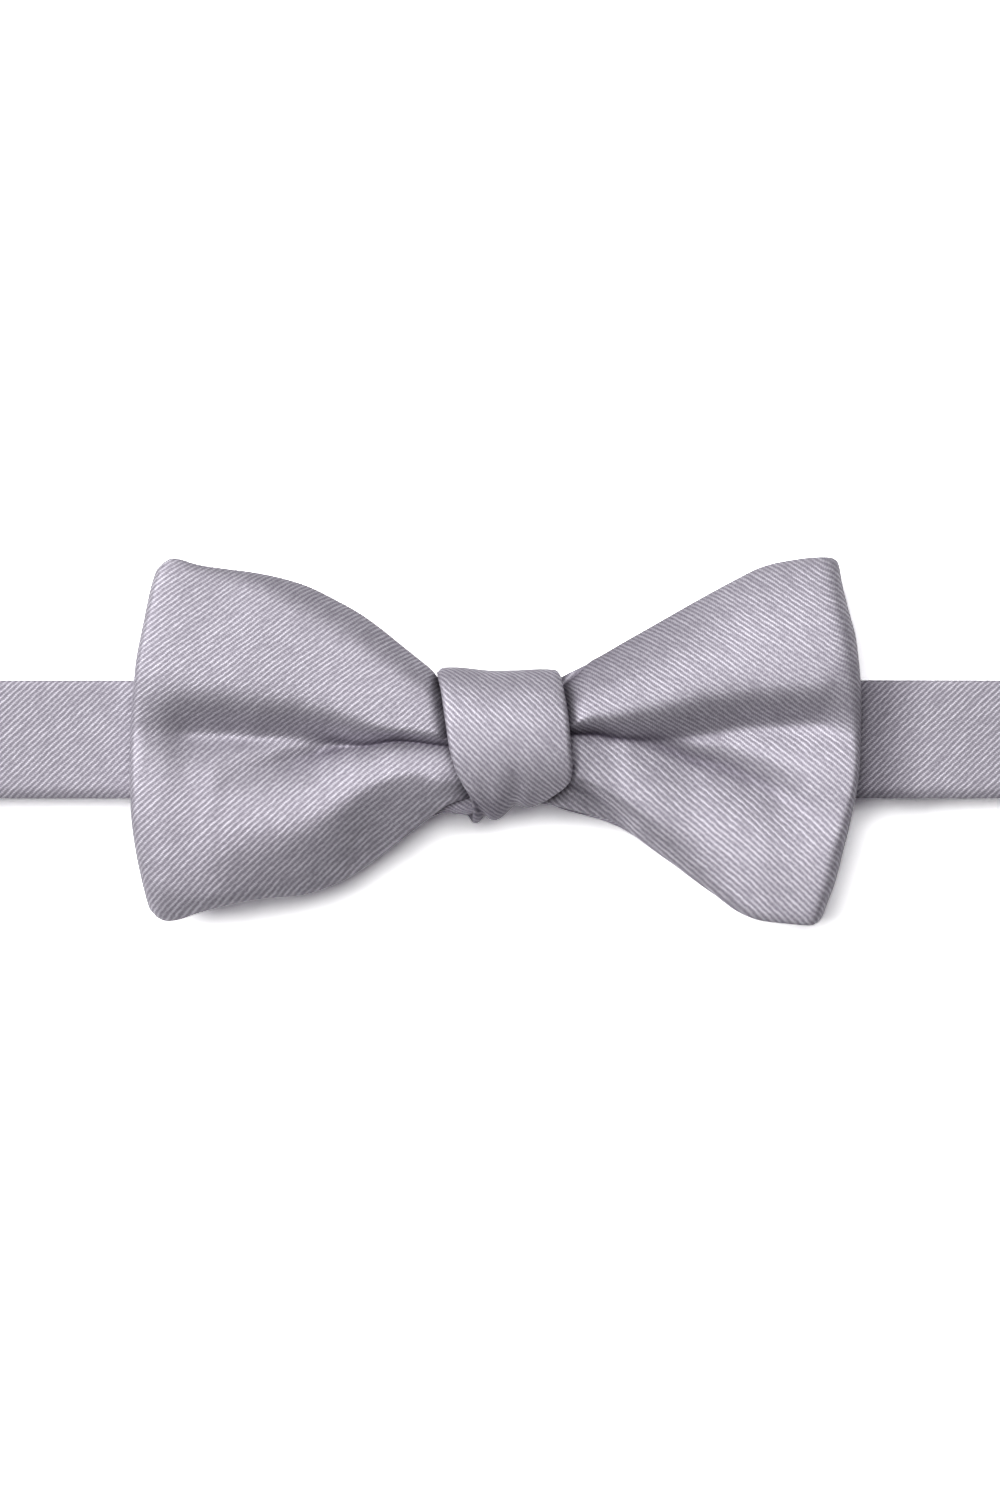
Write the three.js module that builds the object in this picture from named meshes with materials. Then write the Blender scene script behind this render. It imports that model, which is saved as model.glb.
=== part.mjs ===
// A pre-tied bow tie of ribbed silk, lying on its back with its neck band closed and flattened under it.
// Millimetres. X runs across the bow, Y from its bottom edge to its top edge, Z up out of its front.
import * as THREE from "three";

// Cloth walls and the gap kept between neighbouring pieces
const WING_WALL = 1.6;
const KNOT_WALL = 1.4;
const BAND_WALL = 1.6;
const PIECE_GAP = 0.3;
// Share of a wall by which its rounded rim stands out past the last row of points
const RIM_SHARE = 0.35;

// Neck band: the length is once round the neck, the width three quarters of an inch
const BAND_LENGTH = 400;
const BAND_WIDTH = 19.6;
const BAND_HEIGHT = 9.8;
const BAND_WIDTH_IN_KNOT = 13.6;
const BAND_MIDDLE_Y = 0.2;
const BAND_END_GAP = 1.0;

// Clasp: a plain sleeve round the two ends of the band
const CLASP_LENGTH = 12;
const CLASP_WALL = 0.8;
const CLASP_X = -50;
const CLASP_CORNER = 1.2;

// Heights shared by both wings
const REAR_PANEL_Z = 10.2;
const REAR_SAG = 6.6;
const REAR_SAG_STARTS = 10.5;
const REAR_SAG_REACH = 19.5;
const REAR_SAG_POWER = 1.3;
const DOME_POWER = 2.3;
const EDGE_ROLL = 0.9;
const EDGE_ROLL_SHARE = 0.82;

// How finely the cloth is cut into facets
const FRONT_STEPS = [
  0, 0.08, 0.135, 0.165, 0.188, 0.202, 0.217, 0.245, 0.29, 0.345,
  0.41, 0.49, 0.57, 0.65, 0.73, 0.81, 0.89, 0.95, 1,
];
const FOLD_STEPS = [1.18, 1.36, 1.5, 1.64, 1.82];
const REAR_STEPS = [0, 0.08, 0.105, 0.125, 0.145, 0.167, 0.18, 0.2, 0.25, 0.33, 0.44, 0.58, 0.72, 0.86, 1];
const ACROSS_STEPS = [
  -1, -0.96, -0.86, -0.7, -0.55, -0.42, -0.3, -0.2, -0.12, -0.06, 0,
  0.05, 0.1, 0.16, 0.23, 0.32, 0.44, 0.58, 0.73, 0.88, 0.96, 1,
];
const KNOT_STEPS_ROUND = 40;
const KNOT_STEPS_ACROSS = 12;

// Left wing. "out" is the distance from the bow's middle, "top" and "bottom" the height of that edge.
const LEFT_WING = {
  name: "left_wing",
  side: -1,
  inner: -1,
  cornerTop: 1.5,
  cornerBottom: 1.6,
  frontEdges: [
    { out: -1, top: 9.7, bottom: -9.4 },
    { out: 4.2, top: 9.8, bottom: -9.8 },
    { out: 7.2, top: 9.8, bottom: -10.6 },
    { out: 9.5, top: 10.2, bottom: -12.2 },
    { out: 9.9, top: 11.4, bottom: -12.6 },
    { out: 12.4, top: 13.5, bottom: -14.6 },
    { out: 15.7, top: 16.2, bottom: -17.1 },
    { out: 19.0, top: 18.7, bottom: -19.5 },
    { out: 22.2, top: 21.0, bottom: -21.7 },
    { out: 25.5, top: 22.8, bottom: -23.4 },
    { out: 32.1, top: 25.8, bottom: -25.4 },
    { out: 38.7, top: 27.4, bottom: -26.4 },
    { out: 48.5, top: 28.9, bottom: -28.3 },
    { out: 52.5, top: 29.8, bottom: -29.4 },
    { out: 60.0, top: 30.3, bottom: -30.2 },
  ],
  rearEdges: [
    { out: -1, top: 9.6, bottom: -9.2 },
    { out: 3.8, top: 9.7, bottom: -10.3 },
    { out: 5.0, top: 9.7, bottom: -11.5 },
    { out: 6.0, top: 9.7, bottom: -12.5 },
    { out: 7.2, top: 9.8, bottom: -12.2 },
    { out: 8.4, top: 9.8, bottom: -11.3 },
    { out: 9.6, top: 10.0, bottom: -12.0 },
    { out: 12.4, top: 12.6, bottom: -13.8 },
    { out: 22.2, top: 20.4, bottom: -21.2 },
    { out: 32.1, top: 25.4, bottom: -24.9 },
    { out: 52.5, top: 29.5, bottom: -28.9 },
    { out: 60.0, top: 30.0, bottom: -29.9 },
  ],
  tip: [
    { y: -30.2, out: 56.0 },
    { y: -27.7, out: 56.9 },
    { y: -22.8, out: 58.3 },
    { y: -17.9, out: 59.2 },
    { y: -13.0, out: 59.8 },
    { y: -3.1, out: 60.1 },
    { y: 11.7, out: 59.2 },
    { y: 19.0, out: 57.9 },
    { y: 26.4, out: 56.3 },
    { y: 30.3, out: 54.9 },
  ],
  relief: [
    { out: -1, crest: 18.4, drop: 3.8 },
    { out: 12, crest: 18.5, drop: 4.0 },
    { out: 20, crest: 18.7, drop: 5.0 },
    { out: 30, crest: 18.2, drop: 6.4 },
    { out: 45, crest: 17.2, drop: 7.8 },
    { out: 56, crest: 16.7, drop: 7.6 },
    { out: 60, crest: 16.7, drop: 7.6 },
  ],
  folds: {
    mainCrease: [
      { out: -1, y: -0.9, depth: 4.0, reach: 1.3 },
      { out: 9, y: -0.6, depth: 4.6, reach: 1.2 },
      { out: 16, y: 0.5, depth: 4.4, reach: 1.3 },
      { out: 24, y: 0.9, depth: 3.2, reach: 1.8 },
      { out: 29, y: 2.4, depth: 2.6, reach: 2.4 },
      { out: 39, y: 4.5, depth: 2.1, reach: 2.8 },
      { out: 49, y: 5.1, depth: 1.5, reach: 2.8 },
      { out: 55, y: 4.9, depth: 0.0, reach: 2.6 },
    ],
    lowerBranch: [
      { out: 22, y: 0.2, depth: 0.0, reach: 1.8 },
      { out: 28, y: -1.2, depth: 1.2, reach: 2.0 },
      { out: 33, y: -2.5, depth: 1.2, reach: 2.3 },
      { out: 38, y: -3.7, depth: 0.6, reach: 2.8 },
      { out: 42, y: -4.8, depth: 0.0, reach: 3.0 },
    ],
    lowerDent: [
      { out: 9, y: -5.0, depth: 0.0, reach: 1.6 },
      { out: 13.5, y: -7.4, depth: 0.9, reach: 1.9 },
      { out: 19.5, y: -10.4, depth: 0.9, reach: 2.2 },
      { out: 25, y: -15.8, depth: 0.5, reach: 2.8 },
      { out: 30, y: -19.0, depth: 0.0, reach: 3.0 },
    ],
  },
};

// Right wing, with the same columns
const RIGHT_WING = {
  name: "right_wing",
  side: 1,
  inner: 1.6,
  cornerTop: 0.8,
  cornerBottom: 1.2,
  frontEdges: [
    { out: 1.6, top: 9.5, bottom: -8.2 },
    { out: 8.0, top: 9.6, bottom: -8.1 },
    { out: 11.3, top: 9.8, bottom: -7.7 },
    { out: 13.2, top: 10.6, bottom: -8.3 },
    { out: 15.5, top: 12.9, bottom: -10.2 },
    { out: 17.2, top: 13.8, bottom: -11.9 },
    { out: 20.4, top: 15.7, bottom: -14.3 },
    { out: 27.0, top: 19.4, bottom: -18.9 },
    { out: 33.6, top: 23.2, bottom: -23.5 },
    { out: 40.1, top: 26.8, bottom: -28.0 },
    { out: 43.4, top: 28.4, bottom: -29.5 },
    { out: 46.7, top: 29.3, bottom: -30.1 },
    { out: 53.3, top: 30.2, bottom: -30.3 },
    { out: 60.0, top: 30.3, bottom: -30.4 },
  ],
  rearEdges: [
    { out: 1.6, top: 9.4, bottom: -8.2 },
    { out: 6.2, top: 9.5, bottom: -8.3 },
    { out: 7.8, top: 9.7, bottom: -10.2 },
    { out: 10.5, top: 9.8, bottom: -11.2 },
    { out: 11.0, top: 10.9, bottom: -11.4 },
    { out: 14.4, top: 12.3, bottom: -12.2 },
    { out: 19.5, top: 14.9, bottom: -13.5 },
    { out: 27.0, top: 19.1, bottom: -18.5 },
    { out: 40.1, top: 26.4, bottom: -27.6 },
    { out: 46.7, top: 28.8, bottom: -29.4 },
    { out: 60.0, top: 30.0, bottom: -30.0 },
  ],
  tip: [
    { y: -30.3, out: 53.6 },
    { y: -27.7, out: 54.3 },
    { y: -22.8, out: 56.0 },
    { y: -17.9, out: 57.6 },
    { y: -13.0, out: 58.8 },
    { y: -3.1, out: 60.1 },
    { y: 6.7, out: 60.2 },
    { y: 16.6, out: 59.6 },
    { y: 21.5, out: 58.6 },
    { y: 26.4, out: 57.0 },
    { y: 30.3, out: 55.8 },
  ],
  relief: [
    { out: 1.6, crest: 18.4, drop: 3.8 },
    { out: 14, crest: 18.5, drop: 4.0 },
    { out: 22, crest: 18.7, drop: 5.0 },
    { out: 32, crest: 18.2, drop: 6.6 },
    { out: 45, crest: 17.3, drop: 7.9 },
    { out: 56, crest: 16.7, drop: 7.6 },
    { out: 60, crest: 16.7, drop: 7.6 },
  ],
  folds: {
    mainCrease: [
      { out: 1.6, y: 0.8, depth: 4.0, reach: 1.3 },
      { out: 13, y: 1.2, depth: 4.6, reach: 1.2 },
      { out: 20, y: 1.4, depth: 4.2, reach: 1.4 },
      { out: 25, y: 1.5, depth: 3.4, reach: 1.9 },
      { out: 30, y: 3.0, depth: 2.8, reach: 2.4 },
      { out: 38, y: 5.5, depth: 2.3, reach: 2.9 },
      { out: 50, y: 5.7, depth: 1.7, reach: 2.8 },
      { out: 56, y: 5.3, depth: 0.0, reach: 2.6 },
    ],
    lowerBranch: [
      { out: 23, y: 0.8, depth: 0.0, reach: 1.8 },
      { out: 30, y: -1.2, depth: 1.2, reach: 2.0 },
      { out: 40, y: -3.9, depth: 0.9, reach: 2.6 },
      { out: 49, y: -8.0, depth: 0.4, reach: 3.2 },
      { out: 54, y: -10.5, depth: 0.0, reach: 3.4 },
    ],
    lowerDent: [
      { out: 11, y: -6.6, depth: 0.0, reach: 1.4 },
      { out: 16, y: -8.6, depth: 0.7, reach: 1.8 },
      { out: 21, y: -11.8, depth: 0.6, reach: 2.2 },
      { out: 28, y: -16.0, depth: 0.0, reach: 2.6 },
    ],
  },
};

// Knot wrap. "angle" goes round it in degrees: 0 at the middle of the front, 90 at the top, 180 behind.
const KNOT = {
  middleY: -0.3,
  middleZ: 13.5,
  frontZ: 21.0,
  backZ: 6.5,
  frontRoundness: 2.8,
  backRoundness: 5,
  edgeDip: 0.9,
};
const KNOT_EDGES = [
  { angle: -180, left: -8.0, right: 9.4 },
  { angle: -130, left: -5.0, right: 6.2 },
  { angle: -105, left: -4.2, right: 5.2 },
  { angle: -90, left: -4.1, right: 6.2 },
  { angle: -73, left: -4.1, right: 7.7 },
  { angle: -64, left: -4.1, right: 8.9 },
  { angle: -52, left: -4.1, right: 10.4 },
  { angle: -42, left: -4.3, right: 11.8 },
  { angle: -35, left: -4.6, right: 12.5 },
  { angle: -25, left: -5.6, right: 12.9 },
  { angle: -14, left: -6.6, right: 13.0 },
  { angle: -3, left: -7.5, right: 12.8 },
  { angle: 3, left: -8.0, right: 12.6 },
  { angle: 19, left: -8.4, right: 12.2 },
  { angle: 42, left: -8.8, right: 11.5 },
  { angle: 70, left: -9.2, right: 10.8 },
  { angle: 90, left: -9.3, right: 10.3 },
  { angle: 180, left: -8.0, right: 9.4 },
];
const KNOT_RIM = [
  { x: -9.4, top: 11.4, bottom: -12.6 },
  { x: -8.8, top: 11.9, bottom: -12.8 },
  { x: -6.8, top: 11.9, bottom: -13.0 },
  { x: -3.3, top: 11.5, bottom: -13.3 },
  { x: -1.6, top: 11.3, bottom: -12.8 },
  { x: 0.0, top: 11.2, bottom: -12.8 },
  { x: 1.2, top: 11.2, bottom: -12.2 },
  { x: 2.4, top: 11.3, bottom: -11.2 },
  { x: 3.5, top: 11.3, bottom: -10.4 },
  { x: 5.2, top: 11.4, bottom: -10.9 },
  { x: 7.6, top: 11.5, bottom: -10.5 },
  { x: 9.8, top: 11.4, bottom: -10.3 },
  { x: 10.6, top: 11.1, bottom: -10.3 },
];

const SILK = { color: 0xb9b4bf, roughness: 0.55, metalness: 0 };
const STEEL = { color: 0xb4b6ba, roughness: 0.3, metalness: 1 };

const mix = (a, b, share) => a + (b - a) * share;
const clamp = (value, low, high) => Math.min(high, Math.max(low, value));

// One column of a table, read smoothly along its key column and never beyond the two rows it lies between.
function read(table, key, column, at) {
  const last = table.length - 1;
  if (at <= table[0][key]) return table[0][column];
  if (at >= table[last][key]) return table[last][column];
  let row = 0;
  while (table[row + 1][key] < at) row += 1;
  const slope = (k) => (table[k + 1][column] - table[k][column]) / (table[k + 1][key] - table[k][key]);
  const tangent = (k) => {
    if (k === 0) return slope(0);
    if (k === last) return slope(last - 1);
    const before = slope(k - 1);
    const after = slope(k);
    return before * after <= 0 ? 0 : (2 * before * after) / (before + after);
  };
  const span = table[row + 1][key] - table[row][key];
  const t = (at - table[row][key]) / span;
  const start = table[row][column] * (1 + 2 * t) * (1 - t) ** 2 + tangent(row) * span * t * (1 - t) ** 2;
  const end = table[row + 1][column] * t * t * (3 - 2 * t) - tangent(row + 1) * span * t * t * (1 - t);
  return start + end;
}

// How far all folds of a wing press its front panel in at one place. "soften" widens and flattens them.
function foldDepth(wing, out, y, soften) {
  let total = 0;
  for (const rows of Object.values(wing.folds)) {
    const depth = read(rows, "out", "depth", out);
    if (depth <= 0 || out > rows[rows.length - 1].out) continue;
    const reach = read(rows, "out", "reach", out) * (1 + 0.7 * soften);
    const away = (y - read(rows, "out", "y", out)) / reach;
    total += (depth * (1 - 0.3 * soften)) / (1 + away * away) ** 1.5;
  }
  return total;
}

function frontHeight(wing, out, y, across, folded, soften) {
  const dome = read(wing.relief, "out", "drop", out) * Math.abs(across) ** DOME_POWER;
  const roll = EDGE_ROLL * clamp((Math.abs(across) - EDGE_ROLL_SHARE) / (1 - EDGE_ROLL_SHARE), 0, 1) ** 2;
  const pressed = folded ? foldDepth(wing, out, y, soften) : 0;
  return read(wing.relief, "out", "crest", out) - dome - roll - pressed;
}

function rearHeight(y) {
  const beyond = clamp((Math.abs(y) - REAR_SAG_STARTS) / REAR_SAG_REACH, 0, 2);
  return REAR_PANEL_Z - REAR_SAG * beyond ** REAR_SAG_POWER;
}

// Share of a corner's radius lost at a distance "into" that radius, up to the corner's middle.
const cornerLoss = (into) => 1 - Math.sqrt(1 - clamp(into, 0, Math.SQRT1_2) ** 2);

function edgeHeight(wing, table, out, across, tipOut) {
  const radius = across > 0 ? wing.cornerTop : wing.cornerBottom;
  const top = read(wing[table], "out", "top", out) - RIM_SHARE * WING_WALL;
  const bottom = read(wing[table], "out", "bottom", out) + RIM_SHARE * WING_WALL;
  const loss = radius * cornerLoss((out - tipOut + radius) / radius) * Math.abs(across) ** 6;
  return mix(bottom, top, (across + 1) / 2) - Math.sign(across) * loss;
}

function tipDistance(wing, across) {
  const radius = across > 0 ? wing.cornerTop : wing.cornerBottom;
  const edge = across > 0 ? 30 : -30;
  const y = Math.abs(across) * edge;
  return read(wing.tip, "y", "out", y) - radius * cornerLoss((Math.abs(y) - 30 + radius) / radius);
}

// A point of a wing's outer face. "along" runs 0 to 1 over the front panel, to 2 round the tip, to 3 behind.
function wingPoint(wing, along, across, folded, soften) {
  const tipOut = tipDistance(wing, across);
  const tipY = edgeHeight(wing, "frontEdges", tipOut, across, tipOut);
  const frontZ = frontHeight(wing, tipOut, tipY, across, folded, soften);
  const rearZ = rearHeight(tipY);
  const radius = (frontZ - rearZ) / 2;
  const shoulder = tipOut - radius;
  const share = along <= 1 ? along : along >= 2 ? 3 - along : 1;
  const turn = clamp(along - 1, 0, 1) * Math.PI;
  const out = mix(wing.inner, shoulder, share) + (share === 1 ? radius * Math.sin(turn) : 0);
  const frontY = edgeHeight(wing, "frontEdges", out, across, tipOut);
  const rearY = edgeHeight(wing, "rearEdges", out, across, tipOut);
  const behind = (1 - Math.cos(turn)) / 2;
  const y = mix(frontY, rearY, along < 1 ? 0 : behind);
  let z = mix(frontZ, rearZ, behind);
  if (along < 1) z = frontHeight(wing, out, y, across, folded, soften);
  if (along > 2) z = rearHeight(y);
  return new THREE.Vector3(wing.side * out, y, z);
}

// The direction in which a surface faces, from the two ways it runs.
function facing(at, u, v, step) {
  const alongU = at(u + step, v).sub(at(u - step, v));
  const alongV = at(u, v + step).sub(at(u, v - step));
  return alongU.cross(alongV).normalize();
}

// Closes an outer and an inner grid of points into one shell of cloth, with rounded rims along both sides.
// A ring joins its last row to its first; a strip is capped at both ends.
function clothShell(outer, inner, ring) {
  const rows = outer.length;
  const columns = outer[0].length;
  const rim = (i, edge, beside) => {
    const away = outer[i][edge].clone().sub(outer[i][beside]).normalize();
    const wall = outer[i][edge].distanceTo(inner[i][edge]);
    return outer[i][edge].clone().lerp(inner[i][edge], 0.5).addScaledVector(away, RIM_SHARE * wall);
  };
  const section = (i) => [
    ...outer[i],
    rim(i, columns - 1, columns - 2),
    ...inner[i].slice().reverse(),
    rim(i, 0, 1),
  ];
  const around = 2 * columns + 2;
  const points = outer.flatMap((row, i) => section(i));
  const faces = [];
  for (let i = 0; i < (ring ? rows : rows - 1); i += 1) {
    const here = i * around;
    const next = ((i + 1) % rows) * around;
    for (let k = 0; k < around; k += 1) {
      const after = (k + 1) % around;
      faces.push(here + k, next + k, next + after, here + k, next + after, here + after);
    }
  }
  for (const i of ring ? [] : [0, rows - 1]) {
    const start = i * around;
    const innerOf = (j) => start + around - 2 - j;
    const cap = [[start + columns - 1, start + columns, innerOf(columns - 1)]];
    cap.push([start, innerOf(0), start + around - 1]);
    for (let j = 0; j < columns - 1; j += 1) {
      cap.push([start + j, start + j + 1, innerOf(j)], [start + j + 1, innerOf(j + 1), innerOf(j)]);
    }
    for (const [a, b, c] of cap) faces.push(...(i === 0 ? [a, b, c] : [a, c, b]));
  }
  const geometry = new THREE.BufferGeometry();
  geometry.setAttribute("position", new THREE.Float32BufferAttribute(points.flatMap((p) => p.toArray()), 3));
  geometry.setIndex(faces);
  return geometry;
}

// Turns every face round where a shell came out facing inwards.
function facedOutwards(geometry) {
  const index = geometry.getIndex();
  const corner = [0, 1, 2].map(() => new THREE.Vector3());
  let volume = 0;
  for (let f = 0; f < index.count; f += 3) {
    corner.forEach((c, k) => c.fromBufferAttribute(geometry.getAttribute("position"), index.getX(f + k)));
    volume += corner[0].dot(corner[1].clone().cross(corner[2]));
  }
  if (volume < 0) {
    for (let f = 0; f < index.count; f += 3) {
      const second = index.getX(f + 1);
      index.setX(f + 1, index.getX(f + 2));
      index.setX(f + 2, second);
    }
  }
  return geometry;
}

function wingGeometry(wing) {
  const stations = [...FRONT_STEPS, ...FOLD_STEPS, ...REAR_STEPS.map((s) => 3 - s).reverse()];
  const outer = [];
  const inner = [];
  for (const along of stations) {
    outer.push(ACROSS_STEPS.map((across) => wingPoint(wing, along, across, true, 0)));
    inner.push(
      ACROSS_STEPS.map((across) => {
        const plain = (u, v) => wingPoint(wing, u, v, false, 0);
        const out = facing(plain, clamp(along, 0.02, 2.98), clamp(across, -0.97, 0.97), 0.015);
        return wingPoint(wing, along, across, true, 1).addScaledVector(out, -wing.side * WING_WALL);
      }),
    );
  }
  return facedOutwards(clothShell(outer, inner, false));
}

// A point of the knot wrap's outer face: "turn" in radians round it, "share" 0 to 1 from left to right edge.
function knotPoint(turn, share) {
  const angle = THREE.MathUtils.radToDeg(turn);
  const left = read(KNOT_EDGES, "angle", "left", angle) + RIM_SHARE * KNOT_WALL;
  const x = mix(left, read(KNOT_EDGES, "angle", "right", angle) - RIM_SHARE * KNOT_WALL, share);
  const power = 2 / (Math.cos(turn) > 0 ? KNOT.frontRoundness : KNOT.backRoundness);
  const side = Math.sin(turn);
  const front = Math.cos(turn);
  const rim = read(KNOT_RIM, "x", side > 0 ? "top" : "bottom", x);
  const y = KNOT.middleY + Math.abs(side) ** power * (rim - KNOT.middleY);
  const reach = front > 0 ? KNOT.frontZ - KNOT.middleZ : KNOT.middleZ - KNOT.backZ;
  const dip = KNOT.edgeDip * Math.abs(2 * share - 1) ** 3 * Math.max(front, 0);
  const z = KNOT.middleZ + Math.sign(front) * Math.abs(front) ** power * reach - dip;
  return new THREE.Vector3(x, y, z);
}

// Angles round the knot wrap that cut its middle line into pieces of equal length.
function knotTurns() {
  const fine = 720;
  const turns = Array.from({ length: fine + 1 }, (_, k) => -Math.PI + (2 * Math.PI * k) / fine);
  const run = [0];
  for (let k = 1; k <= fine; k += 1) {
    run.push(run[k - 1] + knotPoint(turns[k], 0.5).distanceTo(knotPoint(turns[k - 1], 0.5)));
  }
  return Array.from({ length: KNOT_STEPS_ROUND }, (_, k) => {
    const wanted = (run[fine] * k) / KNOT_STEPS_ROUND;
    return turns[run.findIndex((r) => r >= wanted)];
  });
}

function knotGeometry() {
  const shares = Array.from({ length: KNOT_STEPS_ACROSS + 1 }, (_, k) => k / KNOT_STEPS_ACROSS);
  const outer = [];
  const inner = [];
  for (const turn of knotTurns()) {
    outer.push(shares.map((share) => knotPoint(turn, share)));
    inner.push(
      shares.map((share) => {
        const out = facing(knotPoint, turn, clamp(share, 0.05, 0.95), 0.04);
        return knotPoint(turn, share).addScaledVector(out, KNOT_WALL);
      }),
    );
  }
  return facedOutwards(clothShell(outer, inner, true));
}

// Half the band's straight run, so that the middle of its wall is BAND_LENGTH long all round.
const BAND_TURN = BAND_HEIGHT / 2;
const BAND_STRAIGHT = (BAND_LENGTH - 2 * Math.PI * (BAND_TURN - BAND_WALL / 2)) / 4;

// The band's outer line as rows of x, z and the way it faces, from one end in the clasp round to the other.
function bandPath() {
  const lift = CLASP_WALL + PIECE_GAP;
  const half = CLASP_LENGTH / 2;
  const path = [];
  const lower = (x) => {
    const rise = clamp((half + 9 - Math.abs(x - CLASP_X)) / 8, 0, 1);
    path.push({ x, z: lift * rise * rise * (3 - 2 * rise), faceX: 0, faceZ: -1 });
  };
  const turned = (middleX, from) => {
    for (let k = 0; k <= 12; k += 1) {
      const a = from + (Math.PI * k) / 12;
      const [faceX, faceZ] = [Math.cos(a), Math.sin(a)];
      path.push({ x: middleX + BAND_TURN * faceX, z: BAND_TURN + BAND_TURN * faceZ, faceX, faceZ });
    }
  };
  const aside = [0.5 * BAND_END_GAP, half, half + 1, half + 3, half + 5, half + 7, half + 9];
  for (const away of aside) lower(CLASP_X + away);
  for (const x of [-20, 20, 60]) lower(x);
  turned(BAND_STRAIGHT, -Math.PI / 2);
  for (const x of [60, 24, 17, 12, 6, 0, -6, -9, -14, -22, -60]) {
    path.push({ x, z: BAND_HEIGHT, faceX: 0, faceZ: 1 });
  }
  turned(-BAND_STRAIGHT, Math.PI / 2);
  lower(-75);
  for (const away of aside.reverse()) lower(CLASP_X - away);
  return path;
}

function bandGeometry() {
  const shares = [-1, -0.5, 0, 0.5, 1];
  const halfWidth = (step) => {
    const held = step.faceZ > 0 ? clamp((22 - Math.abs(step.x - 1.5)) / 8, 0, 1) : 0;
    return mix(BAND_WIDTH, BAND_WIDTH_IN_KNOT, held) / 2 - RIM_SHARE * BAND_WALL;
  };
  const rowAt = (step, inset) =>
    shares.map((share) => {
      const y = BAND_MIDDLE_Y + share * halfWidth(step);
      return new THREE.Vector3(step.x - inset * step.faceX, y, step.z - inset * step.faceZ);
    });
  const path = bandPath();
  const outer = path.map((step) => rowAt(step, 0));
  const inner = path.map((step) => rowAt(step, BAND_WALL));
  return facedOutwards(clothShell(outer, inner, false));
}

// A rectangle with rounded corners, in the clasp's own Y and Z.
function roundedRectangle(path, width, height, corner) {
  const [w, h] = [width / 2, height / 2];
  path.moveTo(-w + corner, -h);
  path.lineTo(w - corner, -h).absarc(w - corner, -h + corner, corner, -Math.PI / 2, 0);
  path.lineTo(w, h - corner).absarc(w - corner, h - corner, corner, 0, Math.PI / 2);
  path.lineTo(-w + corner, h).absarc(-w + corner, h - corner, corner, Math.PI / 2, Math.PI);
  path.lineTo(-w, -h + corner).absarc(-w + corner, -h + corner, corner, Math.PI, 1.5 * Math.PI);
  return path;
}

function claspGeometry() {
  const holeWidth = BAND_WIDTH + 2 * PIECE_GAP;
  const holeHeight = BAND_WALL + 2 * PIECE_GAP;
  const height = holeHeight + 2 * CLASP_WALL;
  const outline = roundedRectangle(new THREE.Shape(), holeWidth + 2 * CLASP_WALL, height, CLASP_CORNER);
  outline.holes.push(roundedRectangle(new THREE.Path(), holeWidth, holeHeight, CLASP_CORNER - CLASP_WALL));
  const along = { depth: CLASP_LENGTH, bevelEnabled: false, curveSegments: 5 };
  const sleeve = new THREE.ExtrudeGeometry(outline, along);
  sleeve.rotateX(Math.PI / 2).rotateZ(Math.PI / 2);
  return sleeve.translate(CLASP_X - CLASP_LENGTH / 2, BAND_MIDDLE_Y, height / 2);
}

const group = new THREE.Group();
group.name = "bow_tie";

function addPiece(name, geometry, finish) {
  const mesh = new THREE.Mesh(geometry, new THREE.MeshStandardMaterial(finish));
  mesh.name = name;
  group.add(mesh);
}

addPiece("left_wing", wingGeometry(LEFT_WING), SILK);
addPiece("right_wing", wingGeometry(RIGHT_WING), SILK);
addPiece("knot_wrap", knotGeometry(), SILK);
addPiece("neck_band", bandGeometry(), SILK);
addPiece("band_clasp", claspGeometry(), STEEL);

// Stands the whole over the middle of its own footprint, resting at height zero.
const footprint = new THREE.Box3().setFromObject(group);
const middle = footprint.getCenter(new THREE.Vector3());
for (const mesh of group.children) mesh.geometry.translate(-middle.x, -middle.y, -footprint.min.z);

export default group;
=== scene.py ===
# %% [markdown]
# # A pre-tied bow tie of ribbed silk
#
# The bow tie lies on its back on a pale surface. Its solid parts come from the CAD model, which is
# loaded here as a fixed frame: two wings, the knot wrap, the neck band and a small metal clasp.
# The silk pieces are made again over those solids with far finer folds, and get their woven finish.
# Everything is in metres in Blender. The tables below are in millimetres, because that is how a
# maker would read them off the tie, and `MM` turns them into metres.

import math

import bmesh
import bpy
import numpy as np
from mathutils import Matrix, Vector


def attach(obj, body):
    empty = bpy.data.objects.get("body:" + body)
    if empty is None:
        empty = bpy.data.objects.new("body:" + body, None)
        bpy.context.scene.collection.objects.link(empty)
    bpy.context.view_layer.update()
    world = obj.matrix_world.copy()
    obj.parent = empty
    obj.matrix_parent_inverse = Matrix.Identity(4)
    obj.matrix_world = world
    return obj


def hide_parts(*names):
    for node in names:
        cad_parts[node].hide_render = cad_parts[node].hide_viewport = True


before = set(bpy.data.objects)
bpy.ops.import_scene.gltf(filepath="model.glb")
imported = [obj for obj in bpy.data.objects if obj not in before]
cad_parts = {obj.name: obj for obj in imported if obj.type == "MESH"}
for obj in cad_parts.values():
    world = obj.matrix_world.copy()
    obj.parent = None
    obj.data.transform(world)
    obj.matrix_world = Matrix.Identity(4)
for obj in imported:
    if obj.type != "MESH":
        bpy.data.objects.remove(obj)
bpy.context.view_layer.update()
MM = 0.001
print("CAD nodes:", sorted(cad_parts))

# %% [markdown]
# ## Reading a table smoothly
#
# Every outline and fold below is a short table: one column is the distance from the middle of the
# bow, and the others say how high an edge stands or how deep a fold is there. Between two rows the
# value should run smoothly but never swing past them, or an edge would get a ripple that nobody
# sewed. A cubic Hermite curve with careful slopes does that. It works on whole arrays at once.


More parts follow.
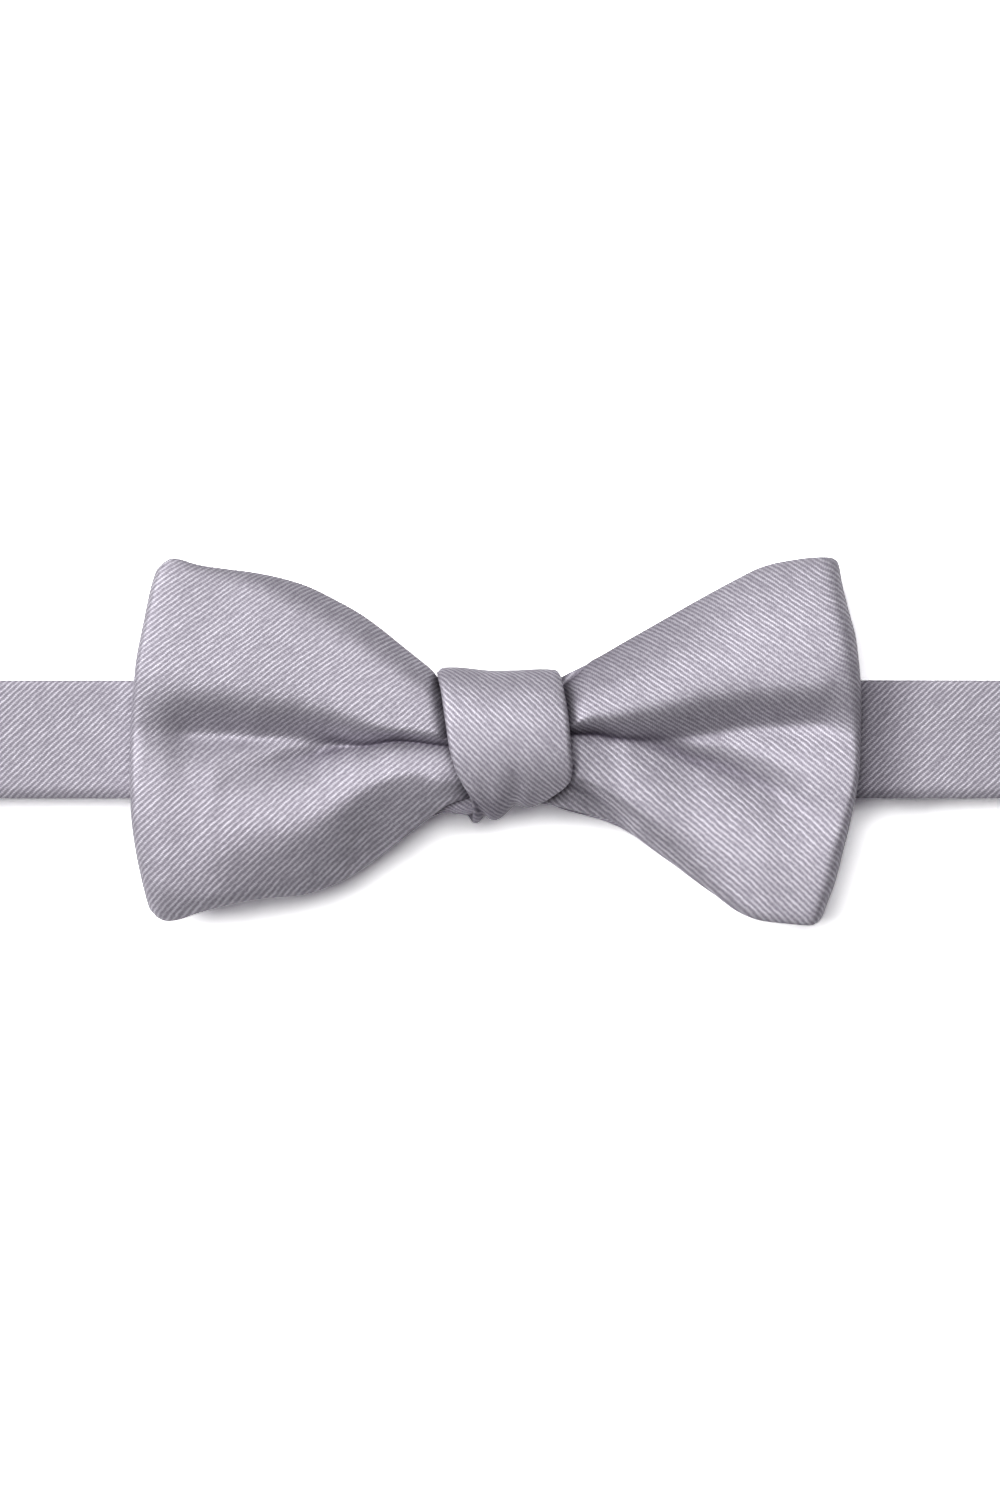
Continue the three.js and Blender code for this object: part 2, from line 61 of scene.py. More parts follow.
# %% Table reader
def read(table, key, column, at):
    """A column of a table at the places `at` along its key column, smooth and without overshoot."""
    x = np.array(table[key], float)
    y = np.array(table[column], float)
    step = np.diff(x)
    slope = np.diff(y) / step
    tangent = np.empty_like(y)
    tangent[0], tangent[-1] = slope[0], slope[-1]
    before, after = slope[:-1], slope[1:]
    same = before * after > 0
    tangent[1:-1] = np.where(same, 2 * before * after / np.where(same, before + after, 1), 0)
    at = np.clip(at, x[0], x[-1])
    row = np.clip(np.searchsorted(x, at) - 1, 0, len(step) - 1)
    t = (at - x[row]) / step[row]
    start = y[row] * (1 + 2 * t) * (1 - t) ** 2 + tangent[row] * step[row] * t * (1 - t) ** 2
    end = y[row + 1] * t * t * (3 - 2 * t) - tangent[row + 1] * step[row] * t * t * (1 - t)
    return start + end


halfway = read({"a": [0, 1], "b": [0, 10]}, "a", "b", 0.5)
print("table reader ready: halfway between 0 and 10 is", halfway)

# %% [markdown]
# ## The camera
#
# The tie is seen from straight above. A long lens far away keeps the knot, which stands about
# 20 mm higher than the surface, from looking larger than the rest. The picture's frame is 246 mm
# high at the height of the cloth, and its centre lies a little below and right of the bow's.

# %% Camera
PICTURE_HEIGHT = 246.24 * MM
PICTURE_CENTRE = (0.74 * MM, -1.48 * MM)
CLOTH_LEVEL = 14 * MM
CAMERA_HEIGHT = 1.6
SENSOR = 36
camera_data = bpy.data.cameras.new("camera")
camera_data.sensor_width = SENSOR
camera_data.lens = SENSOR * (CAMERA_HEIGHT - CLOTH_LEVEL) / PICTURE_HEIGHT
camera = bpy.data.objects.new("camera", camera_data)
camera.location = (*PICTURE_CENTRE, CAMERA_HEIGHT)
bpy.context.scene.collection.objects.link(camera)
bpy.context.scene.camera = camera
print("lens", round(camera_data.lens, 1), "mm at", CAMERA_HEIGHT, "m")

# %% [markdown]
# ## A grid that becomes cloth
#
# A strip of silk starts as a flat grid, as cloth lies on a cutting table. Each grid point keeps
# two numbers: how far along the strip it is and how far across. A shape function then says where
# that point of the cloth goes in space. The Solidify modifier gives the cloth its thickness towards
# the inside, and one level of subdivision rounds its folded edges. The same two numbers, measured
# in metres of cloth, become the UV map that carries the weave, so the ribs stay on the thread. Two
# more numbers ride on each point for the finish: how near an edge it is, where wear and painted
# shade darken the silk, and how deep it lies in painted shade.


# %% Cloth from a grid
SAME_POINT = 1e-6


def cloth_piece(name, along, across, shape, cloth_uv, wall, edge, shade, ring=False):
    """A strip of cloth: a grid with rows at `along` and columns at `across`, bent by shape(a, b).

    cloth_uv(a, b, points) measures the cloth. edge(a, b) says where wear and painted shade darken
    its edges, and shade(a, b, points) where painted shade stands for little light getting in. A
    `ring` is joined to itself along its first row.
    """
    rows, columns = len(along), len(across)
    bm = bmesh.new()
    bmesh.ops.create_grid(bm, x_segments=rows - 1, y_segments=columns - 1, size=0.5)
    bm.verts.ensure_lookup_table()
    flat = np.array([v.co for v in bm.verts])
    i = np.rint((flat[:, 0] + 0.5) * (rows - 1)).astype(int)
    j = np.rint((flat[:, 1] + 0.5) * (columns - 1)).astype(int)
    grid_a, grid_b = np.meshgrid(along, across, indexing="ij")
    points = shape(grid_a, grid_b) * MM
    uv = cloth_uv(grid_a, grid_b, points / MM) * MM
    uv_layer = bm.loops.layers.uv.new("cloth")
    for face in bm.faces:
        for loop in face.loops:
            k = loop.vert.index
            loop[uv_layer].uv = uv[i[k], j[k]]
    # The `edge` numbers mark wear and painted shade along the edges, and the `shade` numbers mark
    # painted shade; both darken the silk's colour later.
    edge_layer = bm.verts.layers.float.new("edge")
    shade_layer = bm.verts.layers.float.new("shade")
    near_edge = edge(grid_a, grid_b)
    in_shade = shade(grid_a, grid_b, points / MM)
    for k, vert in enumerate(bm.verts):
        vert.co = Vector(points[i[k], j[k]])
        vert[edge_layer] = float(near_edge[i[k], j[k]])
        vert[shade_layer] = float(in_shade[i[k], j[k]])
    if ring:
        bmesh.ops.remove_doubles(bm, verts=bm.verts, dist=SAME_POINT)
    bmesh.ops.recalc_face_normals(bm, faces=bm.faces)
    front = max(bm.faces, key=lambda face: face.calc_center_median().z)
    if front.normal.z < 0:
        bmesh.ops.reverse_faces(bm, faces=bm.faces)
    mesh = bpy.data.meshes.new(name)
    bm.to_mesh(mesh)
    bm.free()
    mesh.polygons.foreach_set("use_smooth", [True] * len(mesh.polygons))
    piece = bpy.data.objects.new(name, mesh)
    bpy.context.scene.collection.objects.link(piece)
    solid = piece.modifiers.new("wall", "SOLIDIFY")
    solid.thickness = wall * MM
    solid.offset = -1
    smooth = piece.modifiers.new("rounding", "SUBSURF")
    smooth.levels = smooth.render_levels = 1
    print(name, rows, "by", columns, "points, wall", wall, "mm")
    return piece


# %% [markdown]
# ## The wings
#
# A wing is one loop of the bow: the silk runs out from the knot as the front panel, turns round in
# a soft roll at the tip and comes back behind as the rear panel. Under the knot the whole width of
# the strip is squeezed to a third, and the silk answers with creases that fan out and fade towards
# the tip. The front panel is therefore built as a crown that falls off to both edges, from which
# each crease is pressed in. A crease has its own line, depth and reach, and may fall away more
# gently on one side than on the other, as a real pleat does.
#
# `out` is always the distance from the bow's middle, and `y` the distance above its middle line.
# `inner` is where the cloth begins under the knot, `corner_` the radius of a corner at the tip, and
# `rib_bend` how much the ribs bend towards the bottom edge and over what distance. `knot_edge` is
# where the silk goes in under the knot, and `rim_shade` how much painted shade darkens its top
# edge. `front` and `rear` hold the two panels' outlines, `tip` how far out the loop
# reaches and `turn` the radius of its roll there. In `relief`, `crest` is the height of the front
# panel over the surface, `drop` how far it falls off evenly to an edge, and `roll` how far it turns
# down in the last `share` of the way. `shoulder` is the line below which the lower half leans back.
# A fold has the `y` of its line, its `depth`, the width `above` of its upper flank, the distance
# `slow` over which the silk comes up again below it, and `dark`, how much painted shade darkens its
# bottom. Where it has `late`, only that share of the lower side comes up slowly, and the rest does
# within `below`.
# `soft` and `crisp` say how gently the upper and the lower flank run out.

# %% Wing tables
LEFT_WING = {
    "name": "left_wing_silk",
    "side": -1,
    "inner": -1.0,
    "corner_top": 2.0,
    "corner_bottom": 2.2,
    "rib_bend": (0.08, 40),
    "knot_edge": {
        "y": [-13, -8, -5, -3.3, 0.5, 4, 9, 12],
        "out": [3.6, 4.2, 5.5, 6.6, 8.1, 8.6, 9.4, 9.8],
    },
    "rim_shade": {"out": [8, 20, 34, 44, 60], "top": [0.25, 0.2, 0.2, 0.05, 0]},
    "front": {
        "out": [-1, 4.2, 7.2, 9.5, 9.9, 12.4, 15.7, 19, 22.2, 25.5, 32.1, 38.7, 48.5, 52.5, 60],
        "top": [9.7, 9.8, 9.8, 10.3, 11.5, 13.7, 16.4, 19.1, 21.4, 23.3, 26.4, 28, 29.3, 30.4, 31],
        "bottom": [
            -9.4, -9.7, -10.5, -11.9, -12.2, -14.2, -16.8, -19.4,
            -21.7, -23.6, -25.8, -26.4, -28.6, -29.9, -30.6,
        ],
    },
    "rear": {
        "out": [-1, 3.8, 4.6, 5.2, 6.5, 7.2, 7.8, 9.6, 12.4, 22.2, 32.1, 52.5, 60],
        "top": [9.6, 9.7, 9.7, 9.7, 9.7, 9.8, 9.8, 10, 12.6, 20.4, 25.4, 29.5, 30],
        "bottom": [
            -9.2, -12.2, -12.8, -12.8, -12.4, -11.7, -11.1,
            -11.7, -13.4, -21.1, -24.4, -28.3, -29.5,
        ],
    },
    "tip": {
        "y": [-30.2, -27.7, -22.8, -17.9, -13, -3.1, 11.7, 19, 26.4, 30.3],
        "out": [56.5, 57.2, 58.3, 59.2, 59.8, 60.1, 59.2, 57.9, 56.4, 55.1],
    },
    "turn": {
        "y": [-30, -18, -6, 4, 14, 30],
        "radius": [1.2, 1.2, 1.2, 1.2, 1.2, 1.6],
    },
    "relief": {
        "out": [-1, 12, 20, 30, 42, 54, 60],
        "crest": [18.8, 18.9, 18.8, 18.7, 18.9, 18.7, 18.2],
        "drop_top": [4.1, 2, 2.2, 2.1, 2.3, 1.5, 1.5],
        "drop_bottom": [6.9, 1.5, 1.5, 1.5, 1.5, 3.5, 7.5],
        "roll_top": [2.6, 3.8, 4, 4, 1.3, 0.3, 0.3],
        "roll_bottom": [0.3, 0.3, 0.4, 1, 1.7, 3.4, 3.4],
        "share_top": [0.45, 0.4, 0.35, 0.26, 0.11, 0.08, 0.1],
        "share_bottom": [0.17, 0.1, 0.09, 0.13, 0.08, 0.21, 0.34],
    },
    "shoulder": {
        "out": [9, 13, 16, 20.5, 25.5, 30.5, 35.5, 41, 48, 58],
        "y": [-7.4, -5.5, -5.9, -7.8, -10.8, -13.8, -15.5, -15.9, -19.4, -24.4],
        "width": [0.5, 0.5, 0.5, 0.6, 0.8, 0.9, 1, 1.2, 1.2, 1.7],
        "slope": [1, 0.58, 0.57, 0.64, 0.45, 0.4, 0.35, 0.22, 0.09, 0],
    },
    "folds": {
        "main crease": {
            "out": [-1, 9, 16, 22, 28, 33, 38, 44, 50, 55, 58],
            "y": [-1.8, -0.7, 0, -0.8, 0, 0.5, 0.5, 0.9, 1.1, 1.2, 1.4],
            "depth": [3.7, 3.4, 4.1, 4.7, 4.5, 4.6, 4.7, 4.8, 4.4, 2.6, 1.7],
            "above": [0.9, 0.9, 0.9, 2.3, 3, 3.3, 3.6, 3.9, 4, 5, 7],
            "below": [1.8, 1.8, 1.8, 2, 2.2, 2.2, 2.2, 2.2, 2.2, 2.2, 2.9],
            "slow": [6.6, 7, 9, 8, 8, 8, 8, 8, 7, 6, 6],
            "late": [0.8, 0.8, 0.7, 0.6, 0.6, 0.6, 0.62, 0.68, 0.72, 0.72, 0.72],
            "dark": [0.9, 0.9, 0.9, 0.8, 0.4, 0.12, 0.12, 0.12, 0.08, 0, 0],
            "soft": 0.33,
            "crisp": 0.67,
        },
        "lower branch": {
            "out": [23, 27, 30, 33, 36, 39, 42, 46],
            "y": [-0.9, -1.7, -2.6, -3.4, -4.1, -4.8, -5.5, -6.5],
            "depth": [0, 1.6, 2.4, 2.3, 1.8, 1.3, 0.8, 0],
            "above": [1, 1.4, 1.8, 2.1, 2.1, 2.3, 2.4, 2.6],
            "slow": [3] * 8,
            "dark": [0.3, 0.7, 0.55, 0.35, 0.2, 0.1, 0, 0],
            "soft": 0.2,
        },
    },
}
RIGHT_WING = {
    "name": "right_wing_silk",
    "side": 1,
    "inner": 1.6,
    "corner_top": 1.0,
    "corner_bottom": 1.5,
    "rib_bend": (0.16, 14),
    "knot_edge": {
        "y": [-13, -11, -8, -5, -1.7, 4, 9, 12],
        "out": [1, 6.5, 11, 12.9, 12.8, 12.2, 11.2, 10.8],
    },
    "rim_shade": {"out": [10, 20, 30, 40, 50, 60], "top": [0.8, 0.6, 0.4, 0.15, 0, 0]},
    "front": {
        "out": [1.6, 8, 11.3, 13.2, 15.5, 17.2, 20.4, 27, 33.6, 40.1, 43.4, 46.7, 53.3, 60],
        "top": [9.5, 9.8, 10.1, 11.2, 13.5, 14.4, 16.3, 20.1, 23.9, 27.4, 29, 29.9, 30.7, 30.8],
        "bottom": [
            -10.2, -10.7, -11.3, -11.8, -12.4, -12.9, -14.4,
            -19.1, -23.8, -28.6, -29.8, -30.2, -30.7, -30.8,
        ],
    },
    "rear": {
        "out": [1.6, 6.2, 7.8, 10.5, 11, 14.4, 19.5, 27, 40.1, 46.7, 60],
        "top": [9.4, 9.5, 9.7, 9.8, 10.9, 12.3, 14.9, 19.1, 26.4, 28.8, 30],
        "bottom": [-8.2, -8.3, -10.2, -11.2, -11.4, -12.2, -13.5, -18.5, -27.6, -29.4, -30],
    },
    "tip": {
        "y": [-30.3, -27.7, -22.8, -17.9, -13, -3.1, 6.7, 16.6, 21.5, 26.4, 30.3],
        "out": [53.6, 54.3, 56, 57.2, 58.4, 59.9, 60.1, 59.3, 58.1, 57, 56.5],
    },
    "turn": {
        "y": [-30, -18, -6, 4, 14, 30],
        "radius": [2.2, 2.7, 1.2, 2, 3.8, 3.3],
    },
    "relief": {
        "out": [1.6, 14, 22, 32, 42, 54, 60],
        "crest": [18.9, 18.9, 18.9, 18.8, 18.7, 18.9, 18.9],
        "drop_top": [4.4, 5.9, 6.4, 6.4, 5.2, 4.5, 4.3],
        "drop_bottom": [1.5, 1.5, 2.3, 1.9, 1.5, 1.5, 1.5],
        "roll_top": [2.2, 3.1, 4, 4, 3.6, 1.8, 0.4],
        "roll_bottom": [1.8, 1.3, 1.9, 2, 0.6, 0.3, 0.3],
        "share_top": [0.27, 0.45, 0.45, 0.45, 0.45, 0.45, 0.24],
        "share_bottom": [0.46, 0.38, 0.29, 0.16, 0.08, 0.08, 0.08],
    },
    "shoulder": {
        "out": [10, 14, 20, 28, 36, 46, 58],
        "y": [-5.6, -7.4, -9.5, -14.1, -17.4, -21.2, -24.9],
        "width": [0.5, 0.5, 0.5, 0.9, 1.4, 2, 2.6],
        "slope": [0.33, 0.47, 0.58, 0.4, 0.13, 0, 0],
    },
    "folds": {
        "main crease": {
            "out": [1.6, 12, 16, 20, 25, 30, 35, 41, 47, 53, 57, 60],
            "y": [0.8, 1.1, 1.1, 0.4, 0, 0.3, 1, 1.9, 2.2, 2.4, 1.5, 1.2],
            "depth": [3.3, 3.7, 4, 4.4, 4.6, 4.6, 4.6, 4.6, 4.5, 4, 3.3, 3.1],
            "above": [0.9, 1.1, 1.7, 2.4, 3.5, 3.9, 4.4, 4, 3.8, 4, 6.5, 7.5],
            "slow": [13, 14, 14, 14, 10.5, 9, 7.5, 7, 7, 7, 7, 7],
            "dark": [0.9, 1, 1, 0.9, 0.7, 0.35, 0.15, 0.1, 0.1, 0, 0, 0],
            "soft": 0.26,
        },
        "lower branch": {
            "out": [22, 27, 30, 33, 36, 39, 42, 45, 48, 52, 56, 60],
            "y": [0.2, -1.1, -2.4, -3.6, -4.4, -5.4, -6.7, -8.1, -9.7, -11.6, -12.6, -13],
            "depth": [0, 1.1, 1.8, 2.3, 2.6, 2.9, 3, 2.9, 2.5, 1.8, 1.3, 1],
            "above": [1, 1.2, 1.4, 1.9, 2.5, 3.3, 3.9, 4.4, 5.1, 7, 8, 9],
            "slow": [14, 14, 14, 14, 11, 9, 7, 6, 6, 6, 6, 6],
            "dark": [0.3, 0.65, 0.7, 0.65, 0.6, 0.6, 0.5, 0.4, 0.2, 0.1, 0, 0],
            "soft": 0.2,
        },
        "hollow by the knot": {
            "out": [10, 13, 16, 19, 23],
            "y": [-6.3, -7.6, -9.1, -11.1, -14.7],
            "depth": [1.2, 0.9, 2.1, 1.7, 0],
            "above": [1, 1.2, 1.3, 1.3, 1.3],
            "below": [2.1, 2.2, 2.1, 2, 1.9],
            "slow": [9, 10.1, 9.7, 8.9, 8.8],
            "late": [0.89, 1, 0.92, 0.76, 0.79],
            "dark": [0.6, 0.55, 0.4, 0.2, 0],
            "soft": 0.15,
            "crisp": 0.18,
        },
    },
}
print("folds:", {w["name"]: list(w["folds"]) for w in (LEFT_WING, RIGHT_WING)})

# %% [markdown]
# A crease starts as a tight fold at the knot and gets rounder on its way out. Where several meet,
# the silk can't sink deeper than the loop has room, and right beside the knot the wrap presses it
# down. Each crease is a formula over the distance from its line and not a row of moved points, so
# it stays smooth on any grid. The same lines tell where two folds nearly touch and hold no light.

# %% Creases
CREASE_ROUND = {"out": [14, 22, 28, 36, 50], "radius": [0.35, 0.6, 1.1, 1.6, 1.9]}
# CREASE_DARK and the `dark` of UNDER_KNOT shape the painted shade in the creases and beside the
# knot.
CREASE_DARK = {"least": 0.3, "spread": 0.8, "up": 0.3}
DEEPEST_FOLD = 5.9
DEEPEST_SOFT = 0.15
CRISP_POWER = 1.5
UNDER_KNOT = {"fade": 0.42, "press": 1.4, "extra": 0.3, "dark": 0.8, "power": 1.6}


def crease_profile(fold, out, away):
    """1 on the crease's line, falling to 0: evenly over `above` on its upper side, and on its lower
    side over `slow`, apart from what a fold with a `late` share does at once over `below`."""
    rounding = np.interp(out, CREASE_ROUND["out"], CREASE_ROUND["radius"])
    start = np.sqrt(away**2 + rounding**2) - rounding
    soft = fold["soft"]
    inside = 1 - start / read(fold, "out", "above", out)
    upper = np.logaddexp(0, inside / soft) / np.logaddexp(0, 1 / soft)
    lower = np.exp(-start / read(fold, "out", "slow", out))
    if "late" in fold:
        crisp, share = fold["crisp"], read(fold, "out", "late", out)
        steps = start / read(fold, "out", "below", out) + crisp
        at_once = ((1 + crisp**2) / (1 + steps**2)) ** CRISP_POWER
        lower = at_once * (1 - share) + lower * share
    return np.where(away > 0, upper, lower)


def fold_depth(wing, out, y):
    """How far the creases press the front panel in, together never much past the deepest fold."""
    total = np.zeros_like(out)
    for fold in wing["folds"].values():
        away = y - read(fold, "out", "y", out)
        total += read(fold, "out", "depth", out) * crease_profile(fold, out, away)
    return total - DEEPEST_SOFT * np.logaddexp(0, (total - DEEPEST_FOLD) / DEEPEST_SOFT)


def beside_knot(wing, out, y):
    """1 where the silk goes in under the knot, fading within a millimetre outside its edge."""
    edge = np.interp(y, wing["knot_edge"]["y"], wing["knot_edge"]["out"])
    return np.exp(-np.maximum(out - edge, 0) / UNDER_KNOT["fade"])


def crease_shade(wing, out, y):
    """1 where two folds of the silk nearly touch and hardly any light gets in."""
    shade = UNDER_KNOT["dark"] * beside_knot(wing, out, y) ** UNDER_KNOT["power"]
    for fold in wing["folds"].values():
        away = y - read(fold, "out", "y", out)
        spread = np.interp(out, CREASE_ROUND["out"], CREASE_ROUND["radius"])
        reach = CREASE_DARK["least"] + CREASE_DARK["spread"] * spread
        near = np.exp(-(((away - CREASE_DARK["up"] * spread) / reach) ** 2))
        shade = np.maximum(shade, near * read(fold, "out", "dark", out))
    return shade


crease = float(fold_depth(LEFT_WING, np.array([30.0]), np.array([0.2]))[0])
print("30 mm out, the left wing's main crease is", round(crease, 1), "mm deep")

# %% [markdown]
# `across` runs from -1 at the bottom edge to 1 at the top edge. The front panel is a crown that
# falls off to both edges, minus the creases, minus a shoulder below which the lower half leans away
# to its bottom edge. The rear panel is plain, and comes down to the surface towards its edges.

# %% Panel heights
CROWN_POWER = 2.6
ROLL_STEEPEST = 0.98
REAR_PANEL = {"level": 10.2, "drop": 6.6, "flat_to": 10.5, "run": 19.5, "power": 1.3}


def round_off(into, steepest=ROLL_STEEPEST):
    """How far a round edge has fallen off, in radii, at `into` radii from where it begins."""
    return 1 - np.sqrt(1 - np.clip(into, 0, steepest) ** 2)


def front_level(wing, out, y, across):
    """Height of the front panel over the surface."""
    relief, shoulder = wing["relief"], wing["shoulder"]

    def side(column):
        top = read(relief, "out", column + "_top", out)
        return np.where(across > 0, top, read(relief, "out", column + "_bottom", out))

    crown = side("drop") * np.abs(across) ** CROWN_POWER
    roll = side("roll") * round_off((np.abs(across) - 1 + side("share")) / side("share"))
    width = read(shoulder, "out", "width", out)
    below = np.logaddexp(0, (read(shoulder, "out", "y", out) - y) / width)
    lean = read(shoulder, "out", "slope", out) * width * below
    press = UNDER_KNOT["press"] * beside_knot(wing, out, y)
    deep = np.maximum(fold_depth(wing, out, y), press) + UNDER_KNOT["extra"] * press
    return read(relief, "out", "crest", out) - crown - roll - lean - deep


def rear_level(y):
    """Height of the rear panel: level behind the knot, coming down towards its two edges."""
    past = np.maximum(np.abs(y) - REAR_PANEL["flat_to"], 0) / REAR_PANEL["run"]
    return REAR_PANEL["level"] - REAR_PANEL["drop"] * past ** REAR_PANEL["power"]


front_z = float(front_level(LEFT_WING, np.array([30.0]), np.array([8.0]), np.array([0.3]))[0])
print("30 mm out, the left wing's panels are", round(front_z - rear_level(8.0), 1), "mm apart")

# %% [markdown]
# The whole loop follows one number. `along` runs from 0 to 1 over the front panel, to 2 round the
# roll at the tip and to 3 back over the rear panel. The outlines say how high the cloth's edges
# stand at each distance, and the loop's two corners at the tip are rounded off.

# %% Wing loop
MIDDLE_Y = -0.05
HALF_HEIGHT = 30
RIM = 0.2
CORNER_POWER = 6
CORNER_STEEPEST = math.sqrt(0.5)
TURN_POWER = 2 / 2.6


def edge_level(wing, table, out, across, tip_out):
    """The y of a panel's cloth between its two outlines, with the corners at the tip rounded."""
    radius = np.where(across > 0, wing["corner_top"], wing["corner_bottom"])
    top = read(wing[table], "out", "top", out) - RIM
    bottom = read(wing[table], "out", "bottom", out) + RIM
    corner = round_off((out - tip_out + radius) / radius, CORNER_STEEPEST)
    loss = radius * corner * np.abs(across) ** CORNER_POWER
    return bottom + (top - bottom) * (across + 1) / 2 - np.sign(across) * loss


def tip_distance(wing, across):
    """How far out the loop reaches at each height, with its two corners rounded."""
    radius = np.where(across > 0, wing["corner_top"], wing["corner_bottom"])
    y = across * HALF_HEIGHT
    corner = round_off((np.abs(y) - HALF_HEIGHT + radius) / radius, CORNER_STEEPEST)
    return read(wing["tip"], "y", "out", y) - radius * corner


def wing_shape(wing, along, across):
    """The loop in space: front panel, roll at the tip and rear panel."""
    tip_out = tip_distance(wing, across)
    tip_y = edge_level(wing, "front", tip_out, across, tip_out)
    radius = read(wing["turn"], "y", "radius", tip_y)
    turn_starts = tip_out - radius
    share = np.where(along <= 1, along, np.where(along >= 2, 3 - along, 1))
    turn = np.clip(along - 1, 0, 1) * math.pi
    bulge = np.where(share == 1, radius * np.abs(np.sin(turn)) ** TURN_POWER, 0)
    out = wing["inner"] + (turn_starts - wing["inner"]) * share + bulge
    front_y = edge_level(wing, "front", out, across, tip_out)
    rear_y = edge_level(wing, "rear", out, across, tip_out)
    behind = (1 - np.sign(np.cos(turn)) * np.abs(np.cos(turn)) ** TURN_POWER) / 2
    y = front_y + (rear_y - front_y) * behind
    z = front_level(wing, out, front_y, across) * (1 - behind) + rear_level(rear_y) * behind
    return np.stack([wing["side"] * out, y + MIDDLE_Y, z], axis=-1)


for wing in (LEFT_WING, RIGHT_WING):
    middle = wing_shape(wing, np.array([0.5]), np.array([0.0]))[0]
    print(wing["name"], "halfway out on its middle line, in mm:", [round(v, 1) for v in middle])

# %% [markdown]
# The ribs of the silk keep their spacing wherever the strip is squeezed, because it is gathered
# in depth and not in the thread. So the cloth's own measure runs by true length along the loop, and
# across it takes in a share of the way down into each crease and up again. A slight bend makes the
# ribs steeper towards the bottom edge. The grid is finest round the creases, where the silk bends
# most.

# %% Wing cloth
CREASE_SHARE = 0.3


def spaced(stops, counts):
    """Numbers from the first stop to the last, with so many even steps between each two stops."""
    runs = [np.linspace(a, b, n, endpoint=False) for a, b, n in zip(stops, stops[1:], counts)]
    return np.concatenate([*runs, stops[-1:]])


def length_along(points):
    """Running length along the first axis of an array of points, from 0 at its start."""
    steps = np.linalg.norm(np.diff(points, axis=0), axis=-1)
    return np.concatenate([np.zeros_like(steps[:1]), np.cumsum(steps, axis=0)])


def wing_uv(wing, grid_b, points):
    """The cloth's own measure: along the loop, halfway between each line's own length and that of
    the middle line, and across it from the middle."""
    run = length_along(points[:, :, [0, 2]])
    middle = run[:, run.shape[1] // 2][:, None]
    run = 0.5 * (run + middle)
    level, depth = np.diff(points[:, :, 1], axis=1), np.diff(points[:, :, 2], axis=1)
    rise = (1 - CREASE_SHARE) * level + CREASE_SHARE * np.hypot(level, depth)
    height = np.hstack([np.zeros((len(rise), 1)), np.cumsum(rise, axis=1)])
    centre = np.argmin(np.abs(grid_b[0]))
    height = height - height[:, [centre]] + points[:, [centre], 1]
    strength, fade = wing["rib_bend"]
    bend = strength * fade * (1 - np.exp(-np.maximum(-height, 0) / fade))
    return np.stack([wing["side"] * (run + wing["inner"] + bend), height], axis=-1)


along_wing = spaced([0, 0.12, 1, 2, 2.8, 3], [4, 54, 12, 9, 4])
across_wing = spaced([-1, -0.9, -0.36, 0.32, 0.9, 1], [5, 18, 72, 18, 5])
print("wing grid:", len(along_wing), "by", len(across_wing), "points")

# %% [markdown]
# The finish needs two more numbers at each point. The strip's edges and its roll at the tip show a
# little wear and are also darkened there as painted shade. The silk gets painted shade in the
# creases, along the top edge and behind, near the knot. They are laid down here as numbers on the
# cloth, because a material can't know where a fold is.

# %% Wing wear and shade
WING_EDGE = 0.06
# The roll at the tip gets part of the edge mark, partly wear and partly painted shade.
TIP_WEAR_AND_SHADE = {"at": 1.35, "reach": 0.35, "strength": 0.6}
RIM_FADE = 3
REAR_SHADE = {"start": 1.6, "dark": 0.35, "from": 12, "reach": 40, "fade": 8}


def side_edges(across, share):
    """1 on a strip's two side edges, fading in over the outermost `share` of its half width."""
    return np.clip((np.abs(across) - (1 - share)) / share, 0, 1)


def wing_edge(grid_a, grid_b):
    """1 on the strip's top and bottom edges and a little less on the tip's roll: wear and painted
    shade.
    """
    tip_roll = np.clip(1 - np.abs(grid_a - TIP_WEAR_AND_SHADE["at"]) / TIP_WEAR_AND_SHADE["reach"], 0, 1)
    return np.maximum(side_edges(grid_b, WING_EDGE), TIP_WEAR_AND_SHADE["strength"] * tip_roll)


def wing_shade(wing, grid_a, points):
    """Painted shade in the creases and along the top edge, and behind in the hollow near the knot.
    """
    out, y = wing["side"] * points[:, :, 0], points[:, :, 1] - MIDDLE_Y
    from_top = points[:, -1:, 1] - points[:, :, 1]
    rim_shade = np.interp(out, wing["rim_shade"]["out"], wing["rim_shade"]["top"])
    rim = rim_shade * np.exp(-from_top / RIM_FADE)
    creases = crease_shade(wing, out, y)
    rear = np.clip(grid_a - REAR_SHADE["start"], 0, 1)
    front = creases + rim * (1 - creases)
    far = np.clip(out - REAR_SHADE["from"], 0, REAR_SHADE["reach"]) / REAR_SHADE["fade"]
    return front * (1 - rear) + REAR_SHADE["dark"] * rear * np.exp(-far)


# The tip's edge mark is partly wear and partly painted shade.
print("the tip is worn by", TIP_WEAR_AND_SHADE["strength"], "of what the side edges are")

# %% [markdown]
# Both loops are made by the same calls, each with its own tables. Their wall stands for the silk
# folded double over its lining.

# %% Wing pieces
WING_WALL = 1.1
wings = []
for wing, node in ((LEFT_WING, "left_wing"), (RIGHT_WING, "right_wing")):
    piece = cloth_piece(
        wing["name"],
        along_wing,
        across_wing,
        lambda a, b, w=wing: wing_shape(w, a, b),
        lambda a, b, p, w=wing: wing_uv(w, b, p),
        WING_WALL,
        edge=wing_edge,
        shade=lambda a, b, p, w=wing: wing_shade(w, a, p),
    )
    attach(piece, "root")
    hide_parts(node)
    wings.append(piece)

# %% [markdown]
# ## The knot wrap
#
# A short strip of the same silk goes once round the pinched middle. In front it is wide and puffed;
# towards its foot its left edge runs in at a slant, its right edge swings under, and what is left
# is gathered into two soft lobes with a notch between them and a small tuck at the lower left.
# It is a ring: a grid bent round and joined to itself at the back. `angle` goes once round it, with
# 0 in front, 90 at the top and -90 at the foot. A bent tube would have one outline all round, so
# two tables say where its side edges and its top and foot are.

